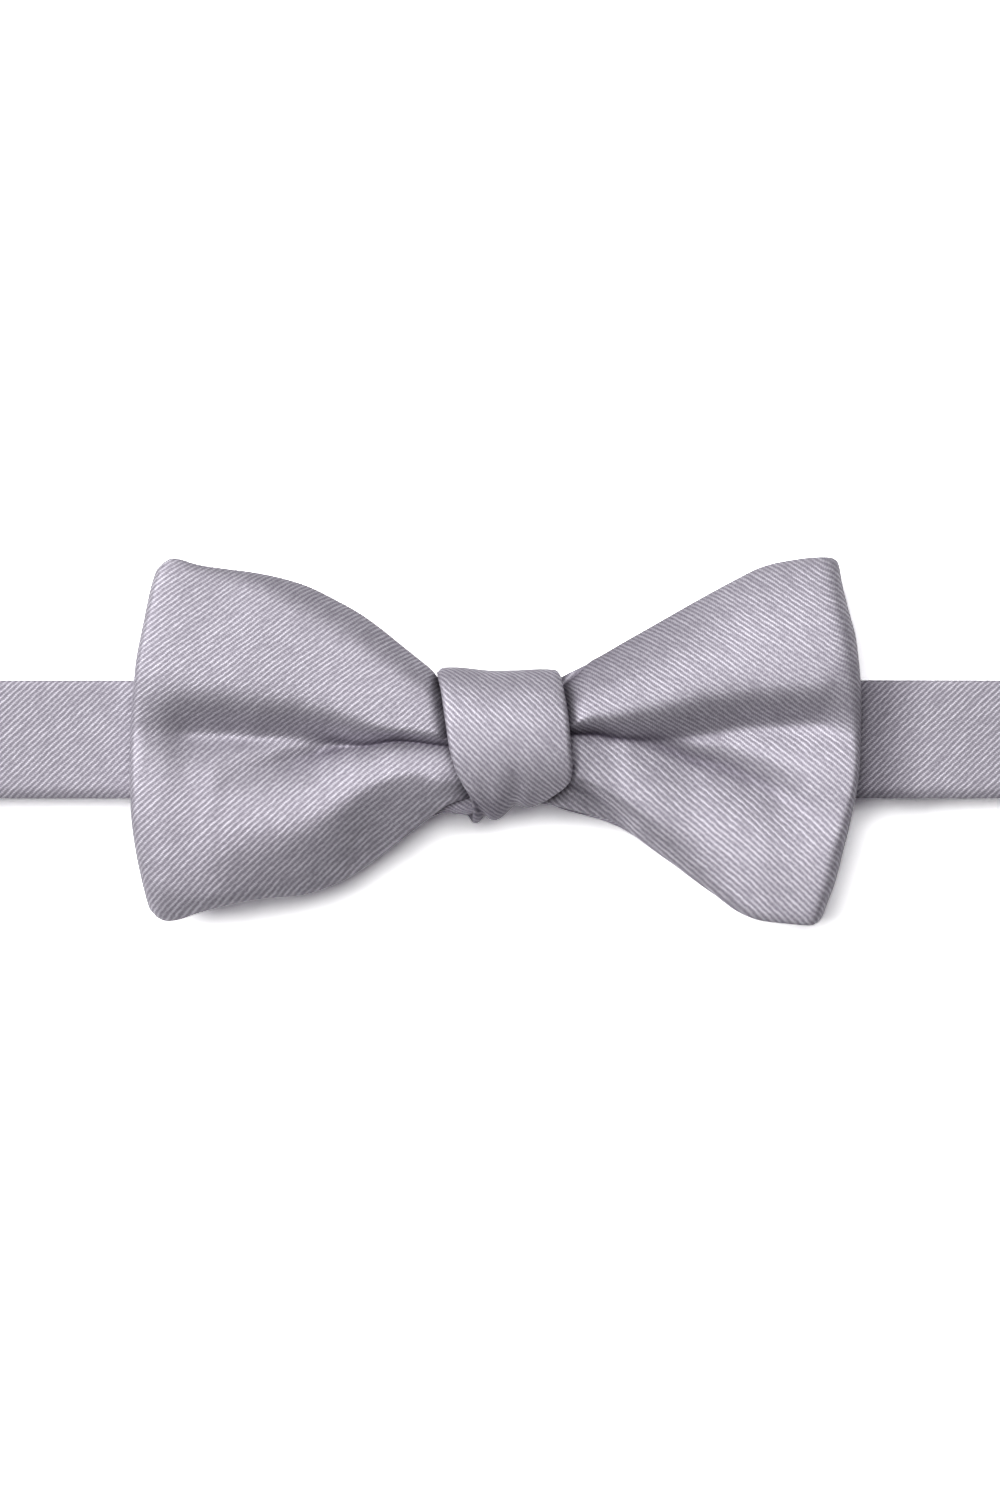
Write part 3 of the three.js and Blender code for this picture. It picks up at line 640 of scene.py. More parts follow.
# %% Knot tables
KNOT_EDGES = {
    "angle": [
        -180, -130, -105, -90, -75.5, -68, -57.5, -48.5, -42,
        -32.5, -21.5, -7, 5, 23.5, 46, 72, 90, 180,
    ],
    "left": [
        -8.0, -5.0, -4.2, -4.1, -4.1, -4.1, -4.1, -4.3, -4.7,
        -5.8, -6.9, -7.8, -8.3, -8.9, -9.4, -9.9, -10.0, -8.0,
    ],
    "right": [
        9.4, 6.2, 5.2, 6.4, 8.0, 9.1, 10.5, 11.8, 12.5,
        12.9, 13.0, 12.8, 12.6, 12.2, 11.6, 11.1, 10.6, 9.4,
    ],
}
KNOT_RIM = {
    "x": [-9.4, -8.8, -6.8, -3.3, -1.6, 0.0, 1.2, 2.4, 3.5, 5.2, 7.6, 9.8, 10.6],
    "top": [11.5, 12.1, 12.2, 11.9, 11.7, 11.6, 11.6, 11.7, 11.7, 11.8, 11.9, 11.8, 11.5],
    "bottom": [
        -12.6, -12.8, -13.0, -13.5, -12.9, -13.0, -12.4,
        -11.3, -10.5, -11.0, -10.6, -10.4, -10.4,
    ],
}
KNOT_MIDDLE_Y = -0.3
KNOT_MIDDLE_Z = 13.5
KNOT_FRONT_Z = 21.0
KNOT_BACK_Z = 6.5
print("the knot reaches from", min(KNOT_EDGES["left"]), "to", max(KNOT_EDGES["right"]), "mm")

# %% [markdown]
# Round the ring the cloth is neither a circle nor a box: fairly round over the top and the foot and
# flat behind, so its powers differ. In front it is a little fuller in the middle than at its sides.

# %% Knot ring
KNOT_INSET = 0.25
KNOT_DIP = 0.5
KNOT_POWER = {"top": 2 / 2.3, "foot": 2 / 2.0, "back": 2 / 5}
KNOT_ROWS = 97


def knot_ring(turn, share):
    """The knot as a plain ring of cloth, before its side edges roll in."""
    angle = np.degrees(turn)
    left = read(KNOT_EDGES, "angle", "left", angle) + KNOT_INSET
    right = read(KNOT_EDGES, "angle", "right", angle) - KNOT_INSET
    x = left + (right - left) * share
    side, front = np.sin(turn), np.cos(turn)
    front_power = np.where(side > 0, KNOT_POWER["top"], KNOT_POWER["foot"])
    power = np.where(front > 0, front_power, KNOT_POWER["back"])
    rim = np.where(side > 0, read(KNOT_RIM, "x", "top", x), read(KNOT_RIM, "x", "bottom", x))
    y = KNOT_MIDDLE_Y + np.abs(side) ** power * (rim - KNOT_MIDDLE_Y)
    reach = np.where(front > 0, KNOT_FRONT_Z - KNOT_MIDDLE_Z, KNOT_MIDDLE_Z - KNOT_BACK_Z)
    dip = KNOT_DIP * np.abs(2 * share - 1) ** 3 * np.clip(front, 0, 1)
    z = KNOT_MIDDLE_Z + np.sign(front) * np.abs(front) ** power * reach - dip
    return np.stack([x, y + MIDDLE_Y, z], axis=-1)


def even_turns(count):
    """Angles round the knot that cut its middle line into equal lengths, and its whole length."""
    quarter_degrees = np.linspace(-math.pi, math.pi, 4 * 360 + 1)
    run = length_along(knot_ring(quarter_degrees, np.full_like(quarter_degrees, 0.5)))
    return np.interp(np.linspace(0, run[-1], count), run, quarter_degrees), run[-1]


knot_turns, knot_round = even_turns(KNOT_ROWS)
print("the knot wrap is", round(knot_round, 1), "mm round")

# %% [markdown]
# The wrap's raw edges are turned in, so both its sides roll under towards the wings. At the lower
# left one small roll is tucked beneath. The tuck, the foot and the top are also darker, because the
# knot turns away from the light there.

# %% Knot rolls and tuck
SMALL_TURN = 0.01
KNOT_ROLL = {"width": 0.85, "depth": 0.9, "past_side": 0.3}
KNOT_TUCK = {
    "from": (-4.3, -8.6),
    "to": (-1.6, -13.2),
    "depth": 0.7,
    "width": 0.45,
    "fade": 2,
    "lowest": 8,
    "dark": 0.85,
}
KNOT_FOOT_SHADE = {"dark": 0.5, "from": -7.5, "run": 4}
KNOT_TOP_SHADE = {"dark": 0.25, "from": 9, "run": 2.5}


def knot_tuck(points):
    """1 on the line where the small roll at the knot's lower left is tucked under."""
    (x0, y0), (x1, y1) = KNOT_TUCK["from"], KNOT_TUCK["to"]
    run = math.hypot(x1 - x0, y1 - y0)
    ahead = ((points[..., 0] - x0) * (x1 - x0) + (points[..., 1] - y0) * (y1 - y0)) / run
    aside = ((points[..., 0] - x0) * (y1 - y0) - (points[..., 1] - y0) * (x1 - x0)) / run
    reach = np.clip(ahead / KNOT_TUCK["fade"], 0, 1) * (points[..., 2] > KNOT_TUCK["lowest"])
    return reach * np.exp(-((aside / KNOT_TUCK["width"]) ** 2))


def knot_shape(turn, share):
    """The knot in space: the ring with its side edges rolled in and its tuck pressed in."""
    ring = knot_ring(turn, share)
    run = (knot_ring(turn + SMALL_TURN, share) - knot_ring(turn - SMALL_TURN, share)) * [0, 1, 1]
    inward = np.cross(run, [1.0, 0, 0])
    inward /= np.linalg.norm(inward, axis=-1, keepdims=True)
    left = knot_ring(turn, np.zeros_like(share))[..., 0]
    right = knot_ring(turn, np.ones_like(share))[..., 0]
    to_edge = np.minimum(ring[..., 0] - left, right - ring[..., 0])
    in_front = np.clip(KNOT_ROLL["past_side"] + np.cos(turn), 0, 1)
    roll = KNOT_ROLL["depth"] * round_off(1 - to_edge / KNOT_ROLL["width"]) * in_front
    middle = np.array([0, KNOT_MIDDLE_Y, KNOT_MIDDLE_Z])
    facing = np.sign(np.sum(inward * (middle - ring) * [0, 1, 1], axis=-1, keepdims=True))
    return ring + facing * inward * (roll + KNOT_TUCK["depth"] * knot_tuck(ring))[..., None]


def knot_shade(points):
    """Darker in the tuck, and at the top and the foot, where the knot turns away."""
    y = points[..., 1]
    foot = np.clip((KNOT_FOOT_SHADE["from"] - y) / KNOT_FOOT_SHADE["run"], 0, 1)
    top = np.clip((y - KNOT_TOP_SHADE["from"]) / KNOT_TOP_SHADE["run"], 0, 1)
    turned = KNOT_FOOT_SHADE["dark"] * foot + KNOT_TOP_SHADE["dark"] * top
    return np.maximum(turned, KNOT_TUCK["dark"] * knot_tuck(points))


tuck_length = math.dist(KNOT_TUCK["from"], KNOT_TUCK["to"])
print("the tuck is", round(tuck_length, 1), "mm long and", KNOT_TUCK["depth"], "mm deep")

# %% [markdown]
# The grid's columns stand closer together towards both sides, where the edges roll. The cloth is
# measured round the ring from its front, so the ribs run over the knot without a break.

# %% Knot piece
KNOT_WALL = 1.3
KNOT_EDGE = 0.1
CROWDED = 0.6
KNOT_COLUMNS = 45
bend = np.linspace(-1, 1, KNOT_COLUMNS)
knot_across = 0.5 + 0.5 * np.sin(bend * math.pi / 2) * CROWDED + 0.5 * bend * (1 - CROWDED)


def knot_uv(grid_a, grid_b, points):
    """The cloth's own measure, across the knot and round it from the front."""
    run = length_along(points[:, :, [1, 2]])
    front = np.argmin(np.abs(grid_a[:, 0]))
    return np.stack([points[:, :, 0], run - run[front]], axis=-1)


knot = cloth_piece(
    "knot_wrap_silk",
    knot_turns,
    knot_across,
    knot_shape,
    knot_uv,
    KNOT_WALL,
    edge=lambda a, b: side_edges(2 * b - 1, KNOT_EDGE),
    shade=lambda a, b, p: knot_shade(p),
    ring=True,
)
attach(knot, "root")
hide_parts("knot_wrap")

# %% [markdown]
# ## The neck band
#
# The band is a flat tube of silk about 20 mm wide and 400 mm long. Closed and laid down, it makes
# two layers with a soft turn at each end, and its two ends meet inside the clasp. The path is
# written as places and facing directions, and the strip follows it. Near the clasp the lower layer
# rises a little, because it goes through the sleeve over its wall. The rows stand closest there and
# round the two turns, where the path bends. `BAND_ROWS` counts them in each stretch. By the clasp
# they lie between the two distances of `NEXT_TO_CLASP` from its middle, and beyond it they begin at
# `CLEAR_OF_CLASP`. Each straight stretch stops `BEFORE_TURN` millimetres short of its turn.

# %% Band path
BAND = {"wall": 1.5, "width": 19.8, "height": 9.8, "length": 400, "neutral": 0.8, "middle_y": 0.3}
CLASP_X = -50
OVER_CLASP = {"x": CLASP_X, "reach": 15, "run": 8, "height": 1.1}
BAND_ROWS = {"clasp": 14, "right": 40, "turn": 17, "front": 90, "left": 10}
NEXT_TO_CLASP = (0.5, 16)
CLEAR_OF_CLASP = {"right": -30, "left": -68}
BEFORE_TURN = 2
turn_radius = BAND["height"] / 2
straight = (BAND["length"] - 2 * math.pi * (turn_radius - BAND["neutral"])) / 4


def near(x, place):
    """1 round a place on the band, falling to 0 over its `run` before its `reach`."""
    return np.clip((place["reach"] - np.abs(x - place["x"])) / place["run"], 0, 1)


def band_path():
    """Rows of x, z and facing direction from the band's one end in the clasp round to the other."""
    rows = []
    last = straight - BEFORE_TURN

    def lower(places):
        for x in places:
            rise = near(x, OVER_CLASP)
            rows.append((x, OVER_CLASP["height"] * rise * rise * (3 - 2 * rise), 0, -1))

    def turn(middle, first):
        for a in np.linspace(first, first + math.pi, BAND_ROWS["turn"]):
            x, z = math.cos(a), math.sin(a)
            rows.append((middle + turn_radius * x, turn_radius * (1 + z), x, z))

    lower(CLASP_X + np.linspace(*NEXT_TO_CLASP, BAND_ROWS["clasp"]))
    lower(np.linspace(CLEAR_OF_CLASP["right"], last, BAND_ROWS["right"]))
    turn(straight, -math.pi / 2)
    rows.extend((x, BAND["height"], 0, 1) for x in np.linspace(last, -last, BAND_ROWS["front"]))
    turn(-straight, math.pi / 2)
    lower(np.linspace(-last, CLEAR_OF_CLASP["left"], BAND_ROWS["left"]))
    lower(CLASP_X - np.linspace(*NEXT_TO_CLASP[::-1], BAND_ROWS["clasp"]))
    return np.array(rows)


path = band_path()
path_run = length_along(path[:, :2])
print("band path", len(path), "rows,", round(path_run[-1], 1), "mm on its outer face")

# %% [markdown]
# The knot squeezes the band to two thirds of its width, and the clasp narrows it slightly. Both its
# edges turn away a little, the lower one more. Just past the right wing's tip the band lies in the
# wing's shadow.

# %% Band across its width
BAND_INSET = 0.05
IN_KNOT = {"x": 1.5, "reach": 22, "run": 8, "width": 13.6}
IN_CLASP = {"x": CLASP_X, "reach": 9, "run": 2, "narrower": 0.6, "lower": 0.12}
BAND_ROLLS = ({"side": -1, "depth": 0.55, "share": 0.22}, {"side": 1, "depth": 0.35, "share": 0.08})
TIP_SHADOW = {"from": 55, "to": 70, "run": 6.5, "lowest": 5, "dark": 0.38, "power": 0.8}


def band_shape(row, across):
    """The strip laid along its path."""
    step = path[np.rint(row).astype(int)]
    x, z, face_x, face_z = (step[..., column] for column in range(4))
    held = np.where(face_z > 0.5, near(x, IN_KNOT), 0)
    sleeved = np.where(face_z < -0.5, near(x, IN_CLASP), 0)
    squeeze = (IN_KNOT["width"] - BAND["width"]) * held
    half = (BAND["width"] + squeeze - IN_CLASP["narrower"] * sleeved) / 2 - BAND_INSET
    soft = 0
    for roll in BAND_ROLLS:
        into = (roll["side"] * across - (1 - roll["share"])) / roll["share"]
        soft = soft + roll["depth"] * np.clip(into, 0, 1) ** 2
    y = BAND["middle_y"] - IN_CLASP["lower"] * sleeved + across * half
    return np.stack([x - soft * face_x, y, z - soft * face_z], axis=-1)


def band_shade(points):
    """Darker just past the right wing's tip, which keeps the light off the band's front stretch."""
    x, z = points[..., 0], points[..., 2]
    shadow = np.clip((TIP_SHADOW["to"] - x) / TIP_SHADOW["run"], 0, 1) ** TIP_SHADOW["power"]
    in_front = (x > TIP_SHADOW["from"]) & (z > TIP_SHADOW["lowest"])
    return np.where(in_front, TIP_SHADOW["dark"] * shadow, 0)


print("the band is", BAND["width"], "mm wide, and", IN_KNOT["width"], "mm inside the knot")

# %% [markdown]
# The band's grid has more columns near its two edges, where the cloth turns. Its measure runs along
# the path, so the ribs keep their pitch round both ends.

# %% Band piece
BAND_EDGE = 0.05
band_across = [-1, -0.985, -0.95, -0.91, -0.86, -0.8, -0.7, -0.4, 0, 0.4, 0.8, 0.91, 0.95, 0.975, 1]
band = cloth_piece(
    "neck_band_silk",
    np.arange(len(path)),
    np.array(band_across),
    band_shape,
    lambda a, b, p: np.stack([-path_run[np.rint(a).astype(int)], p[:, :, 1]], axis=-1),
    BAND["wall"],
    edge=lambda a, b: side_edges(b, BAND_EDGE),
    shade=lambda a, b, p: band_shade(p),
)
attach(band, "root")
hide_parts("neck_band")

# %% [markdown]
# ## Helpers for materials
#
# A material is a tree of small nodes. These helpers make a node, join it to others and give back
# what it puts out, so the recipes further down read like sums. Building the same tree by hand in
# the shader editor gives the same result.


# %% Node helpers
def add(tree, kind, **settings):
    """A new node with some of its settings."""
    node = tree.nodes.new(kind)
    for key, value in settings.items():
        setattr(node, key, value)
    return node


def feed(tree, socket, value):
    """Give an input a plain value, or a link from another node's output."""
    if isinstance(value, bpy.types.NodeSocket):
        tree.links.new(value, socket)
    else:
        socket.default_value = value


def math_node(tree, operation, *values, clamp=False):
    """The result of one operation on numbers or outputs."""
    node = add(tree, "ShaderNodeMath", operation=operation, use_clamp=clamp)
    for slot, value in enumerate(values):
        feed(tree, node.inputs[slot], value)
    return node.outputs[0]


def noise(tree, vector, scale, detail, strength=None):
    """A flat noise over `vector`, less its middle value so that it swings both ways."""
    node = add(tree, "ShaderNodeTexNoise", noise_dimensions="2D")
    feed(tree, node.inputs["Scale"], scale)
    feed(tree, node.inputs["Detail"], detail)
    feed(tree, node.inputs["Vector"], vector)
    swing = math_node(tree, "SUBTRACT", node.outputs["Fac"], 0.5)
    return swing if strength is None else math_node(tree, "MULTIPLY", swing, strength)


def wave(tree, turns):
    """A cosine wave between 0 and 1, highest at whole turns."""
    cosine = math_node(tree, "COSINE", math_node(tree, "MULTIPLY", turns, 2 * math.pi))
    return math_node(tree, "MULTIPLY_ADD", cosine, 0.5, 0.5)


print("node helpers ready")

# %% [markdown]
# ## The weave
#
# The silk is a rep: thick soft ribs that run slantwise, about 0.7 mm apart, each crossed by much
# finer threads that look like small beads. One node group makes both from the cloth's own measure,
# so every silk piece can use it with its own slant. It gives out three patterns: how high the
# thread stands, how light it is and a slow mottle. A woven rib is never quite straight, so a slow
# and a quick noise push the ribs a little aside. The first number of a noise is its scale over a
# metre of cloth, the second its detail and the third its strength.

# %% Weave node group
RIB_DRIFT = (170, 2, 0.4)
RIB_JITTER = (1100, 2, 0.35)
RIB_SHARPNESS = 1.5


def sockets(group, way, kind, *names):
    """Give a node group its named inputs or outputs of one kind."""
    for name in names:
        group.interface.new_socket(name=name, in_out=way, socket_type="NodeSocket" + kind)


weave = bpy.data.node_groups.new("rep_weave", "ShaderNodeTree")
sockets(weave, "INPUT", "Vector", "Cloth")
sockets(weave, "INPUT", "Float", "Slant", "Pitch")
sockets(weave, "OUTPUT", "Float", "Height", "Light", "Mottle")
entry = add(weave, "NodeGroupInput").outputs
leave = add(weave, "NodeGroupOutput").inputs
turned = add(weave, "ShaderNodeVectorRotate", rotation_type="Z_AXIS")
feed(weave, turned.inputs["Vector"], entry["Cloth"])
feed(weave, turned.inputs["Angle"], math_node(weave, "MULTIPLY", entry["Slant"], -1))
parts = add(weave, "ShaderNodeSeparateXYZ")
feed(weave, parts.inputs[0], turned.outputs["Vector"])
drift = noise(weave, entry["Cloth"], *RIB_DRIFT)
jitter = noise(weave, entry["Cloth"], *RIB_JITTER)
ribs = math_node(weave, "DIVIDE", parts.outputs["Y"], entry["Pitch"])
ribs = math_node(weave, "ADD", ribs, math_node(weave, "ADD", drift, jitter))
rib_number = math_node(weave, "ROUND", ribs)
thread = math_node(weave, "POWER", wave(weave, ribs), RIB_SHARPNESS)
print("ribs:", len(weave.nodes), "nodes")

# %% [markdown]
# Each rib is stronger in some stretches of its length than in others. The finer threads cross the
# ribs, show as beads on them, and lean a little from one rib to the next. Here and there a thicker
# thread, a slub, is lighter or darker than the rest.

# %% Threads and beads
STRETCHES = {"per_metre": 260, "per_rib": 0.73, "swing": 1.5}
BEADS = {"pitch": 0.5, "per_rib": 0.37, "lean": 0.6, "swing": 0.34, "between": 0.2}
SLUBS = (1900, 3, 0.6)
stretch = add(weave, "ShaderNodeCombineXYZ")
along_rib = math_node(weave, "MULTIPLY", parts.outputs["X"], STRETCHES["per_metre"])
feed(weave, stretch.inputs["X"], along_rib)
feed(weave, stretch.inputs["Y"], math_node(weave, "MULTIPLY", rib_number, STRETCHES["per_rib"]))
swing = noise(weave, stretch.outputs["Vector"], 1, 2)
strength = math_node(weave, "MULTIPLY_ADD", swing, STRETCHES["swing"], 1)
bead_pitch = math_node(weave, "MULTIPLY", entry["Pitch"], BEADS["pitch"])
crossing = math_node(weave, "DIVIDE", parts.outputs["X"], bead_pitch)
lean = math_node(weave, "MULTIPLY", ribs, BEADS["lean"])
lean = math_node(weave, "MULTIPLY_ADD", rib_number, BEADS["per_rib"], lean)
bead = wave(weave, math_node(weave, "ADD", crossing, lean))
beading = math_node(weave, "MULTIPLY_ADD", bead, BEADS["swing"], 1 - BEADS["swing"])
beaded = math_node(weave, "MULTIPLY", thread, beading)
feed(weave, leave["Height"], math_node(weave, "MULTIPLY", beaded, strength))
groove = math_node(weave, "SUBTRACT", 1, thread)
between = math_node(weave, "MULTIPLY", bead, BEADS["between"])
between = math_node(weave, "MULTIPLY", groove, between)
light = math_node(weave, "MULTIPLY_ADD", beaded, strength, between)
slub = noise(weave, turned.outputs["Vector"], *SLUBS)
feed(weave, leave["Light"], math_node(weave, "ADD", light, slub, clamp=True))
print("ribs and beads:", len(weave.nodes), "nodes")

# %% [markdown]
# Slow changes of tone keep a large surface from looking printed. Clouds lie any way, and finer
# marks are drawn out along the ribs like brush strokes.

# %% Mottle
CLOUDS = (60, 4, 0.25)
MARKS = (420, 3, 0.35)
MARKS_DRAWN = (0.3, 1, 1)
drawn = add(weave, "ShaderNodeVectorMath", operation="MULTIPLY")
feed(weave, drawn.inputs[0], turned.outputs["Vector"])
feed(weave, drawn.inputs[1], MARKS_DRAWN)
marks = noise(weave, drawn.outputs["Vector"], *MARKS)
clouds = noise(weave, entry["Cloth"], *CLOUDS)
feed(weave, leave["Mottle"], math_node(weave, "ADD", math_node(weave, "ADD", clouds, marks), 0.5))
print("weave group has", len(weave.nodes), "nodes")

# %% [markdown]
# ## The silk finishes
#
# The ribs catch the light and the grooves between them stay dark, and most of that is shade between
# threads finer than a render would show. So the light of the thread goes into the colour as well as
# into the bump. Silk has a soft, wide gloss: a middling roughness with a little sheen. The two
# numbers that ride on the cloth come in here. Where `edge` is 1 the silk is rubbed towards one
# even, darker tone, partly wear and partly painted shade along the edges and the roll at the tip.
# Where
# `shade` is 1 it keeps only a fifth of its colour as painted shade, because folds that nearly touch
# are darker than soft light alone would leave them; the same painted shade lies along the top
# edges, behind near the knot, at the knot's top, foot and tuck and where the right wing's tip
# shades the band. All silk shares this, so it is a node group.

# %% Silk colour group
# The edge colour is partly wear and partly painted shade; DEEP_SHADE is the painted shade's colour.
RUBBED_AND_SHADED_EDGE = (0.3, 0.285, 0.32, 1)
EDGE_WEAR_AND_SHADE_SHARE = 0.3
DEEP_SHADE = (0.2, 0.175, 0.228, 1)
MOTTLE = {"swing": 0.24, "least": 0.88}


def mix(tree, share, first, second, blend="MIX"):
    """A colour between the first and the second, each a colour or an output."""
    node = add(tree, "ShaderNodeMix", data_type="RGBA", blend_type=blend)
    for slot, value in ((0, share), (6, first), (7, second)):
        feed(tree, node.inputs[slot], value)
    return node.outputs[2]


silk_colour = bpy.data.node_groups.new("silk_colour", "ShaderNodeTree")
sockets(silk_colour, "INPUT", "Float", "Light", "Mottle")
sockets(silk_colour, "INPUT", "Color", "Groove", "Thread")
sockets(silk_colour, "OUTPUT", "Color", "Colour")
entry = add(silk_colour, "NodeGroupInput").outputs
leave = add(silk_colour, "NodeGroupOutput").inputs
colour = mix(silk_colour, entry["Light"], entry["Groove"], entry["Thread"])
uneven = math_node(silk_colour, "MULTIPLY_ADD", entry["Mottle"], MOTTLE["swing"], MOTTLE["least"])
colour = mix(silk_colour, 1, colour, uneven, blend="MULTIPLY")
# Edges turn towards the edge colour, partly wear and partly painted shade, then painted shade
# multiplies in.
edge = add(silk_colour, "ShaderNodeAttribute", attribute_name="edge")
worn_and_shaded = math_node(silk_colour, "MULTIPLY", edge.outputs["Fac"], EDGE_WEAR_AND_SHADE_SHARE)
colour = mix(silk_colour, worn_and_shaded, colour, RUBBED_AND_SHADED_EDGE)
shade = add(silk_colour, "ShaderNodeAttribute", attribute_name="shade")
colour = mix(silk_colour, shade.outputs["Fac"], colour, DEEP_SHADE, blend="MULTIPLY")
feed(silk_colour, leave["Colour"], colour)
print("silk colour group has", len(silk_colour.nodes), "nodes")

# %% [markdown]
# Each silk piece gets its own material from the two groups. It could be one material with a slant
# kept on the cloth, but the wings, the knot and the band were each cut at another slant, and four
# plain materials are easier to change one at a time.

# %% Silk materials
RIB_PITCH = 0.72 * MM
GROOVE = (0.266, 0.243, 0.295)
THREAD = (0.662, 0.635, 0.706)
BUMP = {"strength": 0.35, "distance": 0.12 * MM}
ROUGH = {"swing": -0.1, "groove": 0.62}


def new_material(name):
    """A material with its node tree and its main shader's inputs."""
    material = bpy.data.materials.new(name)
    material.use_nodes = True
    return material, material.node_tree, material.node_tree.nodes["Principled BSDF"].inputs


def bump(tree, height, strength, distance):
    """A normal bent by a height."""
    node = add(tree, "ShaderNodeBump")
    feed(tree, node.inputs["Strength"], strength)
    feed(tree, node.inputs["Distance"], distance)
    feed(tree, node.inputs["Height"], height)
    return node.outputs["Normal"]


def silk(name, slant_degrees, tone):
    """The ribbed silk with its own slant, `tone` times as light as the wings; a lower tone is
    painted shade.
    """
    material, tree, shader = new_material(name)
    cloth = add(tree, "ShaderNodeUVMap", uv_map="cloth")
    ribbed = add(tree, "ShaderNodeGroup", node_tree=weave)
    feed(tree, ribbed.inputs["Slant"], math.radians(slant_degrees))
    feed(tree, ribbed.inputs["Pitch"], RIB_PITCH)
    feed(tree, ribbed.inputs["Cloth"], cloth.outputs["UV"])
    coloured = add(tree, "ShaderNodeGroup", node_tree=silk_colour)
    for socket_name, dye in (("Groove", GROOVE), ("Thread", THREAD)):
        feed(tree, coloured.inputs[socket_name], (*(tone * part for part in dye), 1))
    for socket_name in ("Light", "Mottle"):
        feed(tree, coloured.inputs[socket_name], ribbed.outputs[socket_name])
    feed(tree, shader["Base Color"], coloured.outputs["Colour"])
    feed(tree, shader["Normal"], bump(tree, ribbed.outputs["Height"], **BUMP))
    light = ribbed.outputs["Light"]
    rough = math_node(tree, "MULTIPLY_ADD", light, ROUGH["swing"], ROUGH["groove"])
    feed(tree, shader["Roughness"], rough)
    shader["Metallic"].default_value = 0.5
    shader["Sheen Weight"].default_value = 0.06
    shader["Sheen Roughness"].default_value = 0.4
    return material


# The band's tone of 0.9 is painted shade: lying flat, it catches less of the gloss than the wings.
FINISHES = ((wings[0], 39, 1), (wings[1], -37, 1), (knot, -45, 1), (band, 43.5, 0.9))
for piece, slant, tone in FINISHES:
    piece.data.materials.append(silk(piece.name + "_finish", slant, tone))
print("silk finishes:", {p.name: p.data.materials[0].name for p in (*wings, knot, band)})

# %% [markdown]
# ## The clasp
#
# The clasp is hidden under the bow. It is a plain pressed steel sleeve, and the solid from the CAD
# model has the right shape, so it only gets its metal: fine brush marks along its length and a
# slight unevenness in its gloss.

# %% Clasp metal
BRUSH_SCALE = (300, 6000, 6000)
DARK_STEEL = (0.5, 0.5, 0.52, 1)
LIGHT_STEEL = (0.68, 0.68, 0.7, 1)
STEEL_BUMP = {"strength": 0.2, "distance": 0.02 * MM}
STEEL_ROUGH = {"swing": 0.2, "least": 0.22}
steel, tree, shader = new_material("clasp_steel")
place = add(tree, "ShaderNodeTexCoord")
stretched = add(tree, "ShaderNodeMapping")
feed(tree, stretched.inputs["Scale"], BRUSH_SCALE)
feed(tree, stretched.inputs["Vector"], place.outputs["Object"])
brush = add(tree, "ShaderNodeTexNoise")
feed(tree, brush.inputs["Scale"], 1)
feed(tree, brush.inputs["Detail"], 3)
feed(tree, brush.inputs["Vector"], stretched.outputs["Vector"])
marks = brush.outputs["Fac"]
feed(tree, shader["Base Color"], mix(tree, marks, DARK_STEEL, LIGHT_STEEL))
rough = math_node(tree, "MULTIPLY_ADD", marks, STEEL_ROUGH["swing"], STEEL_ROUGH["least"])
feed(tree, shader["Roughness"], rough)
feed(tree, shader["Normal"], bump(tree, marks, **STEEL_BUMP))
shader["Metallic"].default_value = 1
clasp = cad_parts["band_clasp"]
clasp.data.materials.clear()
clasp.data.materials.append(steel)
print("clasp keeps its CAD solid")

# %% [markdown]
# ## The surface
#
# The tie lies on a plain sheet of paper that looks nearly pure white behind it. A sheet that really
# was so bright would throw light up under the silk. So the camera sees it brighter than the silk
# does, and only the shadows close to the tie stay visible on it.

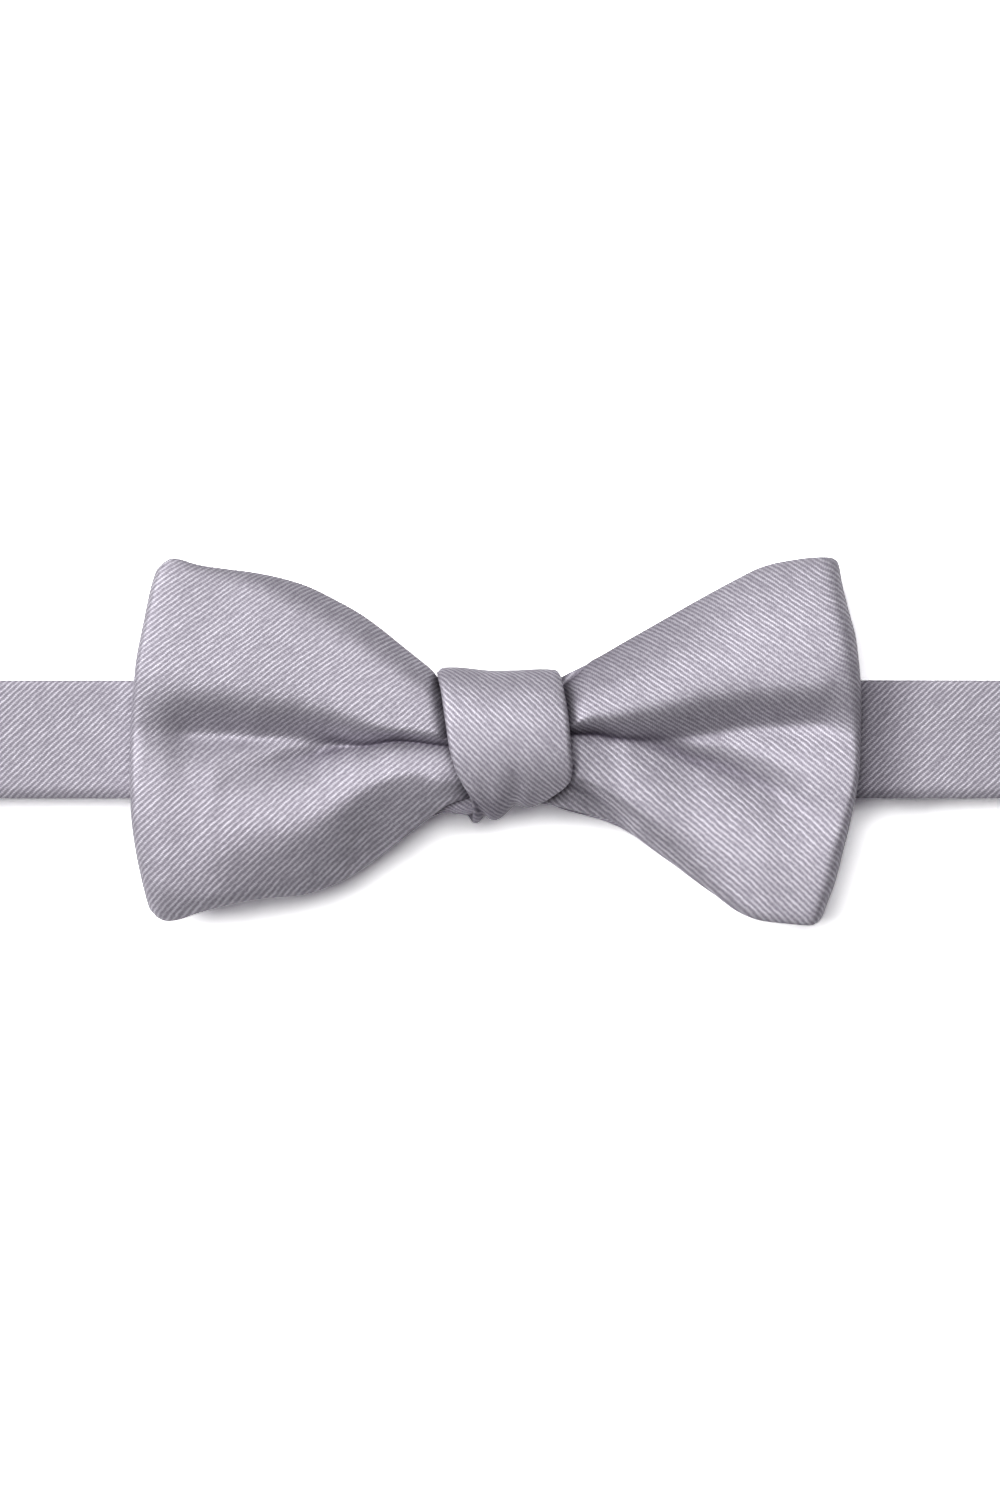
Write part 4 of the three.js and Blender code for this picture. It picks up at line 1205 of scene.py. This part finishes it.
# %% Surface
SHEET_SIZE = 3
WHITE_PUSH = 2.8
PAPER_SCALE = 300
DARK_PAPER = (0.92, 0.92, 0.925, 1)
LIGHT_PAPER = (0.95, 0.95, 0.955, 1)
bm = bmesh.new()
bmesh.ops.create_grid(bm, x_segments=8, y_segments=8, size=SHEET_SIZE)
sheet_mesh = bpy.data.meshes.new("surface")
bm.to_mesh(sheet_mesh)
bm.free()
surface = bpy.data.objects.new("surface", sheet_mesh)
bpy.context.scene.collection.objects.link(surface)
white = bpy.data.materials.new("white_sheet")
white.use_nodes = True
tree = white.node_tree
tree.nodes.remove(tree.nodes["Principled BSDF"])
place = add(tree, "ShaderNodeTexCoord")
paper = add(tree, "ShaderNodeTexNoise")
feed(tree, paper.inputs["Scale"], PAPER_SCALE)
feed(tree, paper.inputs["Vector"], place.outputs["Object"])
seen = add(tree, "ShaderNodeLightPath").outputs["Is Camera Ray"]
paper_tone = mix(tree, paper.outputs["Fac"], DARK_PAPER, LIGHT_PAPER)
matt = add(tree, "ShaderNodeBsdfDiffuse")
feed(tree, matt.inputs["Color"], mix(tree, seen, paper_tone, (*[WHITE_PUSH] * 3, 1)))
feed(tree, tree.nodes["Material Output"].inputs["Surface"], matt.outputs[0])
surface.data.materials.append(white)
print("the camera sees the sheet", WHITE_PUSH, "times as bright as plain white")

# %% [markdown]
# ## The light
#
# A wide soft key light comes from the upper left, so the upper side of each crease lies in shade
# and its lower side is lit. A second soft light, from nearly straight above, opens that shade. A
# weak one stands beyond the top edge, and a faint room light fills the rest. Each light is given by
# the direction it comes from, its size in metres and its power.

# %% Lights
LIGHT_DISTANCE = 3.0
ROOM = {"Color": (0.95, 0.9, 1.0, 1), "Strength": 0.055}


def soft_box(name, direction, size, power):
    """A rectangular soft box in `direction` from the middle of the tie, turned towards it."""
    data = bpy.data.lights.new(name, "AREA")
    data.shape = "RECTANGLE"
    data.size, data.size_y = size
    data.energy = power
    lamp = bpy.data.objects.new(name, data)
    lamp.location = Vector(direction).normalized() * LIGHT_DISTANCE
    lamp.rotation_euler = lamp.location.to_track_quat("Z", "Y").to_euler()
    bpy.context.scene.collection.objects.link(lamp)


soft_box("key", (-1.03, 0.42, 1), (2.4, 1.4), 72)
soft_box("top", (-0.12, 0.25, 1), (2.0, 1.6), 52)
soft_box("back", (0.41, 1.12, 1), (2.0, 1.2), 4)
world = bpy.data.worlds.new("room")
world.use_nodes = True
for socket_name, value in ROOM.items():
    world.node_tree.nodes["Background"].inputs[socket_name].default_value = value
bpy.context.scene.world = world
bpy.context.scene.view_settings.view_transform = "Standard"
